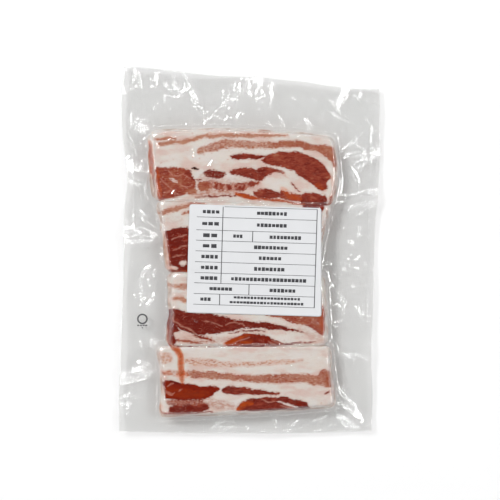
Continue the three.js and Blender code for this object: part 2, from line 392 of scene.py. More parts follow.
# %% Creases noted from the picture
CREASES = [  # (height, width in mm, points in px)
    # top seal and the band above the first slice
    (1.1, 1.3, [(163.6, 71.3), (157.5, 75), (155.9, 79.9), (156, 85), (155.9, 88.5)]),
    (0.8, 1.1, [(163.6, 71.3), (171, 69.8), (180, 72.5), (185.6, 80), (185.8, 90), (180, 97.5), (171, 99.5)]),
    (0.7, 1.0, [(148.3, 77), (153.5, 83), (153, 90.4)]),
    (0.8, 1.0, [(140.6, 77), (141.2, 91.4)]),
    (0.8, 1.2, [(165.5, 83.7), (169, 88), (175, 93.3)]),
    (0.9, 1.2, [(163.6, 95.2), (171, 98.2), (178.9, 99)]),
    (0.8, 1.3, [(223.8, 89.4), (224.6, 96.1)]),
    (0.9, 1.0, [(250.5, 83.7), (251.4, 91), (250.2, 99)]),
    (0.7, 0.9, [(257.7, 91), (257, 97)]),
    (0.8, 0.9, [(263, 91), (264, 99)]),
    (0.9, 1.0, [(269.7, 83.7), (268.6, 90), (270.4, 97)]),
    (0.7, 1.3, [(292, 97.5), (295.5, 100.5)]),
    (0.7, 1.3, [(312, 98.8), (315.5, 101.5)]),
    (0.8, 1.4, [(329, 100.4), (333, 103.4)]),
    (0.9, 1.1, [(353.8, 94.2), (356.5, 99), (360.5, 102.8)]),
    (0.8, 1.0, [(361.5, 91.4), (361, 99)]),
    (0.7, 1.2, [(365.5, 119), (368.8, 125)]),
    (1.0, 1.5, [(192.3, 108.6), (198, 110), (201.8, 113.4), (203.2, 119), (202.8, 123.9)]),
    (1.1, 1.4, [(202.8, 126.8), (207, 121), (213.3, 118.1), (219, 118.8), (224.8, 122)]),
    (0.9, 1.2, [(223.8, 122), (228, 118.4), (232.5, 117.2)]),
    (1.0, 1.3, [(236.3, 120), (239.5, 115), (244, 112.4)]),
    (0.8, 1.2, [(265.8, 123.9), (269, 125), (271.6, 127.7)]),
    (1.0, 1.4, [(277.3, 114.3), (281.5, 120), (284, 127.7)]),
    (1.5, 1.7, [(305, 118), (306.8, 121.8), (308.9, 125.8), (312.7, 131.5)]),
    (0.6, 1.3, [(328, 112), (341, 121), (352, 124)]),
    # left margin
    (1.3, 1.5, [(150.2, 168.8), (147.4, 178), (146.8, 187), (148.3, 196.6), (151.1, 202.3)]),
    (1.1, 1.3, [(140.6, 210), (144.4, 215.8), (152, 216.8)]),
    (1.1, 1.4, [(140.6, 214.9), (145, 221), (150.2, 225.4), (161.6, 232)]),
    (1.0, 1.3, [(137.7, 229.2), (143.5, 234), (151, 234.8), (159.7, 234)]),
    (1.3, 1.6, [(124.3, 238.8), (132, 237.2), (140.6, 237.3), (155.9, 236.4)]),
    (0.9, 1.3, [(162.6, 253), (160.7, 260.8)]),
    (1.3, 1.4, [(155.9, 261.5), (147, 268.5), (142.5, 275.1), (140.6, 286.6), (144.4, 299), (145.4, 306.6)]),
    (1.0, 1.2, [(155.9, 269.4), (154.6, 273), (154, 277)]),
    (1.1, 1.3, [(155.9, 292.3), (152, 300), (148.6, 304), (144.4, 306.6)]),
    (1.0, 1.4, [(148.2, 278.9), (151.1, 286.6)]),
    (1.1, 1.4, [(151.1, 339.6), (155.9, 345.3)]),
    (1.0, 1.3, [(141, 340.5), (141.6, 347.2)]),
    (1.4, 1.8, [(134.9, 364.5), (141, 362), (148, 364), (154, 368.5)]),
    (1.0, 1.4, [(137, 369.5), (146, 369), (151, 371)]),
    (1.3, 1.5, [(119.6, 376.9), (126, 375), (133.9, 374), (148.3, 372.1), (156.9, 371.1)]),
    (0.7, 1.6, [(126, 392), (136, 398), (150, 399)]),
    (0.6, 1.5, [(127, 130), (134, 142), (139, 160)]),
    (0.6, 1.5, [(126, 176), (134, 182), (144, 184)]),
    # right margin
    (1.1, 1.3, [(338.7, 153.4), (345, 148), (351.5, 143.8), (358, 148), (365.5, 153.4)]),
    (1.2, 1.4, [(344.3, 158.3), (355, 156), (365.3, 153.5)]),
    (1.0, 1.3, [(352, 166), (358, 163), (363.6, 161)]),
    (1.4, 1.6, [(350.8, 168), (354, 176), (359, 183.4)]),
    (1.2, 1.4, [(333.6, 206.3), (339, 199), (347, 193.6)]),
    (1.2, 1.4, [(333.6, 205), (347, 200.5), (362.3, 196), (376.3, 197.4)]),
    (1.0, 1.3, [(340.6, 173.2), (340.8, 182), (339.3, 191), (336.5, 200), (331.7, 207.6)]),
    (1.0, 1.6, [(354.6, 212.2), (359, 213.4), (363.6, 212.7)]),
    (0.9, 1.5, [(358.5, 226.5), (360.8, 229.6)]),
    (0.9, 1.4, [(357.5, 233), (359.6, 236)]),
    (1.0, 1.4, [(346, 240.5), (350.8, 242), (353.5, 246)]),
    (1.0, 1.4, [(354.6, 261.2), (357.8, 259), (359.7, 254.8)]),
    (0.9, 1.4, [(354.6, 267.6), (358.5, 270)]),
    (0.8, 1.4, [(352.5, 285.5), (354.5, 288)]),
    (1.1, 1.4, [(354.6, 304.5), (357.8, 309.2), (359.7, 314.7), (364.8, 310.9)]),
    (1.0, 1.4, [(322.8, 264.6), (327.6, 263.6), (332.3, 264.6)]),
    (1.2, 1.4, [(322.8, 275.2), (327, 281), (333, 288)]),
    (1.2, 1.4, [(335.5, 291.8), (341, 298), (344.4, 304.5), (343.2, 312.2), (340.6, 317.3)]),
    (1.1, 1.3, [(327.9, 317.3), (331, 320.6), (335.5, 321.8), (343.8, 319.2)]),
    (1.0, 1.3, [(330.4, 304.5), (335.6, 304.6), (340.6, 307)]),
    (0.9, 1.4, [(333.4, 324.6), (336.4, 327.8)]),
    (1.4, 1.6, [(327.7, 338.9), (334.8, 344.3), (339.3, 350.5)]),
    (0.9, 1.3, [(332.6, 375.2), (335.2, 377.8)]),
    (1.2, 1.4, [(333, 380), (338.4, 390.7), (346, 399), (353.6, 405.9), (353.6, 415.7)]),
    (1.1, 1.3, [(336.6, 401.4), (343.8, 407.7)]),
    (0.7, 1.6, [(356, 330), (366, 338), (371, 350)]),
    (0.7, 1.6, [(345, 366), (356, 372), (364, 384)]),
    # pressed wrinkles on the meat
    (0.7, 0.9, [(169.3, 141.1), (174.5, 140), (180.2, 137.3)]),
    (0.9, 0.9, [(158.4, 144), (158.6, 151)]),
    (0.9, 0.9, [(193.5, 149), (193.5, 160)]),
    (0.8, 0.9, [(208, 168), (212, 164), (214, 160)]),
    (0.8, 0.9, [(160, 192), (163, 198), (166, 196)]),
    (0.7, 0.9, [(172, 196), (177, 190)]),
    (0.7, 0.8, [(195.4, 319), (198, 322)]),
    (0.7, 0.8, [(314, 320), (318, 324)]),
    (0.8, 0.9, [(318.8, 351), (318.8, 358.6)]),
    (0.9, 0.9, [(326.8, 361), (325, 371)]),
    (0.7, 0.8, [(292, 362.9), (294.6, 367.5)]),
    # bottom seal
    (1.0, 1.3, [(209.5, 429.5), (213, 425.6), (218.1, 422.8), (226.7, 419), (233, 420.4), (239.2, 424.7)]),
    (0.8, 1.1, [(222, 430.5), (228, 426.2), (235, 424.7)]),
    (0.9, 1.1, [(245.8, 423.8), (250.6, 429.5)]),
    (0.9, 1.2, [(272.3, 419.3), (276.8, 423.8)]),
    (0.9, 1.1, [(291, 425.5), (297.3, 419.3)]),
    (0.8, 1.3, [(261, 430), (265, 430.8)]),
    (0.8, 1.3, [(283, 429.5), (288, 430.6)]),
    (0.8, 1.3, [(314, 430.4), (321, 429.4)]),
    (0.8, 1.3, [(338, 429.8), (345, 430.6)]),
    (1.0, 1.4, [(312.5, 420.5), (320, 417), (328.6, 414)]),
    # inner edges of the side welds
    (0.35, 1.1, [(131.5, 96), (133.5, 160), (134.5, 220), (135.5, 300), (134, 370), (132.5, 424)]),
    (0.35, 1.1, [(371, 98), (369.5, 170), (367.5, 250), (366.5, 330), (366, 420)]),
]
SEALS = [  # small crinkles: count, box across and down in px, heights in mm
    (100, (128, 372), (76, 101), (0.1, 0.38)),
    (90, (130, 366), (419, 431), (0.15, 0.5)),
    (60, (124, 150), (104, 415), (0.12, 0.45)),
    (70, (340, 374), (104, 415), (0.12, 0.5)),
    (50, (150, 340), (104, 124), (0.12, 0.45)),
]
print("creases noted:", len(CREASES))

# %% Raise the creases
def near_line(points, x, y):
    """Distance from a jointed line, and how far along it, 0 to 1, the nearest place is."""
    points = np.asarray(points, float)[:, :2]
    lengths = np.hypot(*np.diff(points, axis=0).T)
    starts = np.concatenate([[0], np.cumsum(lengths)]) / lengths.sum()
    best, along = np.full(x.shape, np.inf), np.zeros(x.shape)
    for k in range(len(points) - 1):
        away, t = near_run(points[k], points[k + 1], x, y)
        closer = away < best
        best = np.where(closer, away, best)
        along = np.where(closer, starts[k] + t * (starts[k + 1] - starts[k]), along)
    return best, along


def crinkles():
    """Short, mostly upright strokes scattered in the welded bands, always the same ones."""
    rng = np.random.default_rng(11)
    made = []
    for count, across, down, heights in SEALS:
        for _ in range(count):
            x, y = rng.uniform(*across), rng.uniform(*down)
            lean, long = rng.normal(0, 0.8), rng.uniform(2, 9)
            tip = (x + long * math.sin(lean), min(y + long * math.cos(lean), down[1] + 2))
            made.append((rng.uniform(*heights), rng.uniform(0.6, 1.0), [(x, y), tip]))
    return made


SHARPER = 0.85  # of the width noted, since a fold's glint looks wider than its back
ALL_CREASES = [(tall, SHARPER * width, at(points)) for tall, width, points in CREASES + crinkles()]


def crease_height(x, y):
    total = np.zeros(x.shape)
    for tall, width, points in ALL_CREASES:
        reach = 5 * width
        low, high = points.min(0) - reach, points.max(0) + reach
        near = (x > low[0]) & (x < high[0]) & (y > low[1]) & (y < high[1])
        away, along = near_line(points, x[near], y[near])
        ends = smoothstep(along, 0, 0.25) * smoothstep(1 - along, 0, 0.25)
        total[near] = np.maximum(total[near], tall * (0.25 + 0.75 * ends) * np.exp(-away / width))
    return total


def film_top(x, y):
    return front_height(x, y) + crease_height(x, y)


print("creases and crinkles raised:", len(ALL_CREASES))

# %% Build the film
FILM_CELLS = (400, 560)
WELD = 0.15  # mm, the two films together


def lower_film(x, y, upper):
    """The lower film's height below the upper one: flat under the slices, then up to the margin."""
    pressed = smoothstep(outside_slices(x, y), -TUCK, UNDERCUT)
    return np.maximum(-BASE_SINK + (upper - WELD + BASE_SINK) * pressed, 0)


def move_film(u, v, level):
    x, y = outline(u, v)
    top = film_top(x, y)
    return x, y, np.where(level < -0.5, lower_film(x, y, top), top)


bm = bmesh.new()
slab(bm, FILM_CELLS)
film = piece_from(bm, "film", move_film)
print("film's highest crease in mm:", (coordinates(film.data)[:, 2].max() / MM).round(2))

# %% [markdown]
# ## Where the lean lies in the fat
# Pork belly is layers of lean muscle and fat, cut across, so each slice shows long tapering bands
# that run right through its thickness. They are drawn here as a butcher's sketch: streaks are
# lines that have a width at each point, patches are closed outlines. Each shape of lean has a
# tone, from 0 for pale orange-brown to 1 for dark wine red, and a share of fat flecks. Marks of fat
# are cut out of the lean afterwards. Stains are where juice has turned the meat orange, and washes
# are where a thin layer of lean shows through the fat. Both have a strength.

# %% Sketch of slice 1
S1_LEAN = [  # (tone, flecks, points in px)
    (0.2, 0.8, [(154.7, 139, 2), (161, 138.4, 3), (170, 138.2, 3), (175.7, 138.4, 1.5)]),
    (0.21, 0.8, [(157, 144, 2.5), (166, 142.8, 3.6), (175.7, 141.8, 4), (184.6, 141.1, 4.2),
        (193, 139.2, 4.2), (197.4, 137, 4), (206.3, 135.4, 3.6), (212, 136, 3.4), (219.7, 134.8, 3.6),
        (240, 135.1, 3.8), (262, 135.2, 3.4), (279, 135.1, 2.4), (288.9, 135.1, 1)]),
    (0.2, 0.3, [(259, 131, 1), (264, 131, 2.4), (268.8, 131.2, 1)]),
    (0.3, 1.0, [(199.3, 146.9), (208.9, 145), (219.1, 140.5), (229.3, 138.6), (240, 140.5), (256, 141.2),
        (274, 141.8), (276, 144.6), (270.8, 147.8), (255, 148), (240, 147.8), (235.7, 146.5), (226.1, 148.2),
        (213.3, 150.7), (199.3, 153.3), (197.5, 150)]),
    (0.33, 0.8, [(266, 142), (276.2, 141.8), (286.9, 140.1), (298.3, 140.1), (307, 142.5), (315.7, 144.5),
        (327.1, 144.8), (334.5, 147.5), (337.2, 156), (338, 165), (337.1, 171.9), (334.6, 166.5),
        (331.8, 161.9), (325, 155.9), (317, 151.5), (307, 149.5), (298.3, 147.2), (286.9, 147.2),
        (270.8, 147.8)]),
    (0.52, 0.1, [(230.2, 156.6), (236, 153.8), (244, 153.4), (256, 154.2), (262, 155), (266, 156.2),
        (258, 159), (250, 158.6), (243, 159.4), (236, 158.8)]),
    (0.47, 0.12, [(261.4, 161.2), (264, 157.5), (268.8, 154.5), (277.5, 151.8), (286.9, 151.2),
        (297.6, 151.5), (307, 154.5), (315.7, 157.9), (325.7, 165.9), (329.8, 173.3), (331.8, 177.3),
        (329.8, 182.6), (327.1, 188), (322.4, 191.4), (316.4, 187.3), (311, 182.6), (303.6, 178.6),
        (296.9, 174.6), (295.6, 170.6), (288.2, 169.3), (281.5, 166.6), (271.5, 164.6)]),
    (0.5, 0.3, [(229.5, 172), (240, 167.2), (248, 167.9), (256.1, 168.6), (262.1, 166.6), (269.5, 167.2),
        (277.5, 168.6), (285.5, 172.6), (289.6, 177.3), (286.9, 176.6), (280.2, 172.8), (272.1, 173),
        (266.8, 175.6), (262.1, 180.6), (250, 178.6), (240, 176)]),
    (0.75, 0.0, [(292.2, 182.6, 1), (296, 187.5, 1.4), (300.3, 192, 0.8)]),
    (0.45, 0.1, [(235, 192.6), (241, 192.4), (248, 194.6), (254, 195.6), (256, 198), (250, 199), (243, 197.8),
        (236, 195)]),
    (0.5, 0.2, [(253, 193), (256, 190.4), (262, 189), (268, 188.6), (275, 190.6), (281, 193), (283, 196),
        (277, 198.4), (266, 198.4), (257, 197.6)]),
    (0.42, 0.3, [(280, 192), (284, 187.6), (288, 190.6), (293, 193), (300, 194.6), (304, 198.6), (303, 201.6),
        (296, 201.4), (287, 199.6), (280, 198)]),
    (0.4, 0.1, [(236, 193.6, 1), (252, 198.6, 1.8), (270, 199.4, 2.2), (290, 202.2, 2.2), (302, 204.2, 1.6)]),
    (0.53, 0.25, [(300.7, 197), (304, 193.4), (312, 192.3), (322, 193), (327.5, 196.4), (327.6, 202),
        (325, 207.6), (316, 208.6), (304, 207.6), (301, 203)]),
    (0.45, 1.1, [(203, 181), (212, 180.8), (219, 182), (226, 184.4), (232, 183), (238, 182.4), (246, 183),
        (252, 180.8), (258.4, 183), (254, 186.2), (247, 188.4), (240, 190.4), (231, 190), (222, 190.4),
        (213, 188), (205, 190)]),
    (0.52, 0.2, [(214.6, 183.4), (219, 181.8), (223.4, 184), (223.8, 188), (220, 190.2), (216, 188)]),
    (0.55, 0.1, [(227, 187), (229.4, 184.8), (232.4, 186.6), (231.8, 190), (228.4, 190.6)]),
    (0.52, 0.2, [(236, 184.4), (240, 182.2), (245, 184), (247, 188), (244, 190.6), (238, 189.8)]),
    (0.48, 0.2, [(247.6, 183), (253, 181.2), (260.6, 182), (258, 184.8), (250, 185.4)]),
    (0.3, 0.5, [(186, 190), (190, 187.2), (195, 187.8), (196.4, 191.4), (193, 195), (187.6, 194.6)]),
    (0.35, 0.2, [(334, 190, 1), (332.5, 197, 3.4), (331, 203, 3.6), (327, 206.5, 2)]),
    # left end
    (0.44, 0.7, [(155.3, 168.5), (162, 167), (176, 167.4), (187, 168.4), (191.6, 172), (192.4, 177),
        (196.5, 184), (194, 188), (188.5, 192.2), (175.7, 197.3), (166, 199.4), (159.1, 200.5), (156.4, 190),
        (155.6, 178)]),
    (0.3, 0.3, [(170, 177, 4), (178, 181, 7), (182, 186, 4)]),
    (0.6, 0.0, [(181, 170.6, 3), (188, 173, 6), (191, 179, 4)]),
    (0.4, 0.0, [(149.4, 144, 2.4), (150.4, 155, 4.4), (151.4, 168, 4), (152.6, 180, 2)]),
    (0.75, 0.0, [(153.2, 166, 1), (153.6, 180, 1.4), (154.2, 194.7, 1)]),
    (1.0, 0.0, [(191.8, 168.6, 1.6), (194.8, 168.4, 3), (198, 168.8, 1.6)]),
    (0.58, 0.8, [(203, 173.5), (207, 170.5), (214, 169.6), (221, 171), (225.5, 174), (222, 177.4),
        (213, 178.2), (206, 177.2)]),
    (0.7, 0.4, [(196, 180, 1), (199, 179.8, 2), (202, 179.6, 1)]),
    (0.35, 0.5, [(197.4, 185), (200, 181.6), (205.6, 180.7), (211, 183), (212.7, 187), (208, 190.6),
        (201, 191), (198, 188.6)]),
    (0.7, 0.1, [(196, 197, 0.8), (210, 196.4, 1.6), (224, 195.8, 1.6), (236, 195.6, 1)]),
]
S1_FAT = [
    [(288.2, 173.3, 7.5), (296, 178.6, 7.4), (305, 184.4, 6), (314, 189.6, 4.6), (322.4, 194, 3.6)],
    [(263.4, 184.5), (268, 178), (274.8, 174.2), (279.5, 178), (285, 185), (290.9, 193.4), (283, 190.6),
        (273, 188.8)],
    [(327.7, 182), (332.5, 177.3), (337, 177.6), (339.1, 184), (337.6, 192), (334, 196), (330.4, 194),
        (329, 188)],
    [(170, 178.6, 1.2), (174, 181, 2.6), (177, 182, 1.2)],
    [(237.6, 187.2, 0.8), (239.6, 185, 1.1), (243, 185.6, 0.9), (241.4, 187.8, 0.8)],
    [(212.6, 179.6, 1), (210.6, 184, 2.2), (212.6, 190.6, 1.6)],
    [(220, 181, 0.8), (219, 186, 1.6), (217.6, 190, 1)],
    [(226.4, 183, 1), (224.8, 186.6, 2.4), (225.6, 191, 1.6)],
    [(234, 182, 0.8), (233, 186, 2.1), (235, 191, 1.2)],
    [(247, 182.6, 0.8), (246.8, 186, 1.7), (244, 190, 1)],
    [(160, 178, 0.7), (166, 184, 1.1), (172, 190, 0.9), (176, 197, 0.7)],
    [(168, 170, 0.7), (173, 176, 1.1), (183, 174, 0.9), (190, 179, 0.7)],
    [(180, 184, 0.7), (186, 188, 1.2), (193, 185, 0.7)],
    [(163, 192, 0.8), (170, 191, 1.2), (180, 195, 0.8)],
    [(273.6, 172.6, 1.2), (281, 170.8, 1.2), (289, 176, 1)],
]
S1_STAINS = [  # (strength, points in px)
    (0.75, [(157, 171, 2), (157.4, 180, 4), (158.4, 190, 5), (160, 199, 3)]),
    (1.0, [(149.6, 142, 3), (150.4, 155, 4.4), (151.4, 168, 4), (152.4, 178, 2)]),
    (1.0, [(236, 193.6, 2.4), (246, 196.6, 4), (256, 198, 3)]),
    (0.8, [(283, 189, 4), (290, 195.6, 5), (300, 199.6, 5)]),
    (0.7, [(256, 199, 2), (274, 200, 2.6), (292, 202.6, 2.6), (304, 205, 2)]),
    (0.5, [(318, 185, 5), (325, 190, 4)]),
    (0.4, [(334, 178, 4), (334, 195, 5), (330, 204, 4)]),
]
S1_WASHES = [
    (0.9, [(196, 194, 5), (212, 192.6, 7), (228, 191.6, 6), (240, 190, 5)]),
    (0.45, [(204, 182, 16), (232, 184, 12), (258, 185, 7)]),
]

# %% Sketch of slice 2
S2_LEAN = [
    (0.27, 0.9, [(158.6, 214, 2), (162, 213, 3.6), (169.3, 210.6, 4.8), (179, 207.6, 4.4), (189, 205.2, 4),
        (205, 203.6, 3)]),
    (0.3, 0.6, [(182.5, 213.4, 1.2), (185.5, 212.9, 2.4), (190, 212, 2)]),
    (0.62, 0.3, [(164.6, 233), (169, 230.4), (176.9, 228.2), (184.6, 226.8), (192, 228.4), (215, 229),
        (260, 228), (296, 230), (314, 232), (312, 246), (310, 266), (298, 271), (240, 272.4), (190, 273),
        (172, 272.8), (168.6, 262), (166.8, 248)]),
    (0.45, 0.1, [(169, 271.6, 2), (180, 272.2, 2.6), (192, 272.4, 2.4), (210, 272.8, 2)]),
    (0.68, 0.1, [(304, 203), (322, 203), (324, 207), (321.5, 212), (312, 212), (304, 210)]),
    (0.3, 0.0, [(327.6, 209, 1), (328.8, 216, 1.1), (327.8, 224, 1.1), (323, 231, 1)]),
]
S2_FAT = [
    [(178.8, 262.4), (182, 260.7), (186.5, 261.6), (186.2, 264.6), (182, 265.6), (179, 264.8)],
    [(168, 268.2, 2), (172, 268, 3), (176.9, 268.6, 1.6)],
    [(171, 240, 0.8), (178, 236.6, 1.3), (187, 235.4, 0.9)],
    [(173, 251, 0.7), (180, 247, 1.3), (188, 246, 0.9)],
    [(172, 257.6, 0.7), (177, 255.4, 1.2), (184, 255, 0.8)],
]
S2_STAINS = [
    (0.7, [(164.4, 234, 3), (166.2, 246, 4), (167.4, 258, 4), (169.4, 269, 4)]),
    (0.7, [(172, 272, 3), (192, 272.6, 3), (214, 273, 3)]),
]
S2_WASHES = [
    (0.3, [(160, 221, 5), (180, 219, 4)]),
]

# %% Sketch of slice 3
S3_LEAN = [
    (0.24, 1.0, [(167, 286.4, 2), (170.6, 286.6, 3.4), (177, 286.6, 5), (186, 287, 5.2), (205, 287.6, 4)]),
    (0.2, 0.5, [(172.4, 299.8, 2.4), (176, 298.8, 3.8), (180.5, 298.4, 3.8), (185.6, 301.4, 3.6),
        (200, 304, 3)]),
    (0.6, 0.35, [(171.6, 311), (176, 309), (185.6, 312.2), (193.3, 313.5), (209.2, 314.1), (225.2, 317.3),
        (237.9, 320.5), (250.7, 321.8), (256.1, 322.4), (264.8, 322.8), (274.8, 324.1), (283.5, 326.8),
        (293.6, 329.5), (300.3, 331.5), (304.3, 333.8), (297, 332.4), (286.9, 330.8), (269.5, 330.1),
        (260.1, 328.8), (250, 328.4), (237.9, 330.2), (222, 333.4), (202.8, 335.4), (192, 334.4), (182, 331),
        (174.4, 325.4), (171, 319)]),
    (0.65, 0.1, [(229, 334, 0.8), (240, 332, 1.4), (253.4, 330.9, 1.6), (266.8, 332.1, 0.9)]),
    (0.62, 0.1, [(167, 314), (171.5, 311), (172, 319), (176, 326), (180, 331.6), (173.4, 333), (176, 341),
        (172.6, 347.4), (168, 347), (166.6, 330)]),
    (0.5, 0.4, [(193, 336, 1.4), (201, 337.4, 3.4), (208, 339.6, 3), (214, 341.6, 1)]),
    (0.4, 0.7, [(176, 340.4, 1.6), (184, 342, 3.4), (196, 343, 2.4), (206, 343.4, 1)]),
    # A thin dark line along the slice's lower edge. It is partly lean and partly painted shade, where the
    # slice laps onto slice 4.
    (0.5, 0.1, [(172, 347.4, 1.4), (190, 348.6, 1.6), (210, 348.8, 1.4), (232, 349.4, 1.6)]),
    # right of the label
    (0.4, 0.8, [(250, 300), (290, 301), (318, 304), (325, 308), (326, 320), (325, 331), (322.4, 336.2),
        (317, 333.5), (313, 330.1), (309.7, 327.5), (302.3, 325.5), (289.6, 322.1), (282.9, 319.4),
        (268.1, 316.1), (255, 311)]),
    (0.66, 0.2, [(224.6, 343.5), (231.7, 339.3), (240, 335.8), (249.4, 333.9), (258.8, 334.6), (268.3, 337),
        (275.3, 340), (282.4, 343.4), (296, 343.4), (303, 342.6), (303, 344), (290, 345.2), (282.4, 346),
        (270.6, 347.6), (249.4, 349.4), (230.5, 348.8), (225.8, 346.4)]),
    (0.9, 0.0, [(246, 335.4, 1.4), (256, 336.2, 3), (266, 339, 4), (274, 343, 3)]),
    (0.75, 0.0, [(300, 343.2, 1.4), (310, 342.8, 1.2), (317, 342.9, 0.8)]),
]
S3_FAT = [
    [(174, 314.8, 0.8), (171.8, 320, 1.5), (180.5, 326.2, 1.4), (190.7, 330.7, 1.6), (195.8, 334.5, 1)],
    [(225.2, 325.6, 0.8), (234.7, 322.6, 1.4), (242.4, 324.3, 1.4), (244.3, 326.9, 0.8)],
    [(205, 322, 0.7), (214, 323.4, 1.2), (222, 326.6, 0.8)],
    [(268, 341.6, 1), (273, 344.4, 1.8), (277.5, 347, 1.2)],
    [(272, 340.6, 0.8), (279, 344, 1.4), (283, 346, 0.9)],
    [(229, 345.6, 0.8), (238, 341.6, 1.2), (250, 338.6, 0.8)],
    [(236, 347.6, 0.8), (246, 345.4, 1.2), (258, 344, 0.8)],
    [(250, 347.6, 0.8), (262, 345, 1.4), (274, 345.6, 0.8)],
]
S3_STAINS = [
    (0.9, [(225, 345.4, 4), (233, 341.4, 4), (241, 338, 3), (250, 335.6, 1.6)]),
    (0.8, [(229, 347.8, 3), (239, 345, 4), (252, 341.6, 3)]),
    (0.6, [(168, 330, 3), (168.6, 340, 4), (171, 347, 4.4)]),
    (0.5, [(320, 310, 4), (323, 330, 4)]),
]
S3_WASHES = [
    (0.5, [(184, 339, 5), (200, 341, 9), (218, 342, 8), (236, 340, 6)]),
    (0.5, [(300, 330, 4), (312, 336, 7), (322, 340, 6)]),
]

# %% Sketch of slice 4
S4_LEAN = [
    (0.2, 1.5, [(156, 357), (158.3, 354.4), (162, 354.2), (169, 354.6), (171.7, 358), (170, 362.4),
        (163, 363.6), (159, 361)]),
    (0.16, 1.5, [(184.6, 361.6, 3), (190, 362.2, 6), (198, 362.8, 6), (205, 363.4, 5), (213, 363.6, 6),
        (221, 364.6, 4.4), (230, 365.4, 3.6), (250, 365, 3.4), (270, 363.6, 3.4), (287, 362.6, 3),
        (302.4, 361.2, 0.8)]),
    (0.3, 0.2, [(161, 373.8, 1.4), (162.8, 373.8, 2.8), (164.6, 373.8, 1.4)]),
    (0.22, 1.2, [(164, 374.2, 2), (171, 374, 5), (178, 374.4, 4), (188, 374, 4)]),
    (0.31, 0.9, [(184, 374), (190.8, 371.3), (204, 372.2), (217.6, 373.2), (236, 375.1), (250, 376.2),
        (264.1, 375.7), (283.3, 374.8), (302.4, 374.8), (318.3, 375.7), (321.5, 371.9), (325.4, 370.6),
        (330.5, 372.5), (331.7, 378.3), (332.4, 387.2), (327.9, 388.5), (321.5, 386.6), (312, 385.3),
        (302.4, 383.4), (283.3, 384), (264.1, 384), (245, 382.1), (228, 380.8), (207, 379.5), (188, 377.6)]),
    (0.76, 0.0, [(162.4, 383), (170.4, 381.5), (177.4, 382.7), (194.6, 385.9), (202.9, 387.2), (216.3, 387.2),
        (219.5, 390.4), (213.8, 393.6), (210.6, 398.7), (201, 400), (191.5, 401.2), (180, 401),
        (171.7, 400.6), (165.4, 398.5), (163.4, 391)]),
    (0.45, 1.0, [(166.4, 402.6), (176, 400.8), (190, 400.4), (201, 400.4), (203.4, 404), (196, 407),
        (182, 407.2), (170, 406.6)]),
    (0.58, 0.3, [(169, 408), (180, 406.4), (194.6, 405.4), (206, 404.6), (208.4, 409), (204, 412.6),
        (190, 414), (176, 414.8), (168.4, 413.6)]),
    (0.45, 0.1, [(161.4, 414, 1.4), (165, 415.6, 2.4), (172, 416, 2.4), (186, 415, 2), (212, 413, 1.2)]),
    (0.5, 0.1, [(221.4, 391), (226, 388.2), (231.6, 387.2), (245, 388.5), (256.5, 390.4), (268, 392),
        (280.7, 394.8), (268, 396.1), (250, 395.5), (231.6, 395.5), (224, 394)]),
    (0.55, 0.15, [(236.1, 410.2), (238, 406), (242.5, 403.1), (250, 400), (254.6, 399.3), (270.5, 398),
        (286.5, 398), (296, 400.6), (306.2, 402.5), (308.8, 407), (312, 410.2), (304, 412.4), (280, 412.6),
        (255, 412.6), (240, 412.4)]),
    (0.9, 0.0, [(298, 405, 3), (303, 407, 4), (308, 410, 2)]),
    (0.7, 0.0, [(325.4, 394.8, 0.8), (328, 393.4, 1.8), (330.5, 391.7, 0.8)]),
    (0.5, 0.3, [(327, 376, 1), (328.6, 381, 2.4), (328, 386, 1.2)]),
]
S4_FAT = [
    [(165, 392.4, 1.4), (167.6, 394.4, 2.4), (172, 396, 2.2), (174, 393.6, 1)],
    [(168, 387, 0.9), (171, 385.4, 1.8), (173.6, 384.6, 0.9)],
    [(178.7, 391.6, 0.8), (180, 390.8, 1.8), (181.4, 390.2, 0.8)],
    [(278, 402.8, 0.6), (288, 405.4, 2.5), (297, 408.4, 0.8)],
    [(281, 407, 0.8), (290, 409, 1.8), (298, 411, 1)],
    [(262, 401, 0.7), (268, 403, 1.2), (276, 402.4, 0.8)],
    [(160.6, 409.6), (163, 407.2), (166.6, 407.4), (168.6, 410.6), (167, 413.6), (163.4, 414), (161, 412)],
]
S4_STAINS = [
    (0.95, [(171.6, 343.6, 3), (174, 347.6, 5), (178, 351.6, 5.4), (180.4, 358, 5), (180.8, 368, 5.2),
        (181.6, 374, 7)]),
    (0.6, [(179, 375, 8), (184, 375.6, 8)]),
    (0.5, [(182, 378, 4.4), (182.4, 384, 3)]),
    (0.95, [(237.6, 410, 4), (243, 406.4, 6), (252, 403.4, 4)]),
    (0.6, [(160.8, 408, 3), (161.4, 414.6, 3), (170, 416, 3), (186, 415.4, 2)]),
    (0.25, [(166, 392, 10), (186, 395, 9), (206, 395, 6)]),
    (0.45, [(160, 372, 3), (168, 374, 6)]),
]
S4_WASHES = [
    (0.85, [(176, 403.6, 8), (200, 404, 10), (216, 405, 9), (232, 408, 6)]),
    (0.3, [(160, 368, 5), (164, 378, 5)]),
]
SKETCHES = [
    (S1_LEAN, S1_FAT, S1_WASHES, S1_STAINS),
    (S2_LEAN, S2_FAT, S2_WASHES, S2_STAINS),
    (S3_LEAN, S3_FAT, S3_WASHES, S3_STAINS),
    (S4_LEAN, S4_FAT, S4_WASHES, S4_STAINS),
]
for sketch in SKETCHES:
    print("shapes of lean, fat, washes and stains:", [len(shapes) for shapes in sketch])

# %% [markdown]
# ## From the sketch to values on the mesh
# Each point of a slice is given its signed distance in millimetres to the nearest edge between
# lean and fat, positive in the lean. A distance blends smoothly between points, so the material
# can draw a crisp edge from it that is finer than the mesh. Tone and flecks are averaged over the
# shapes nearby, which gives soft changes of colour inside the lean.

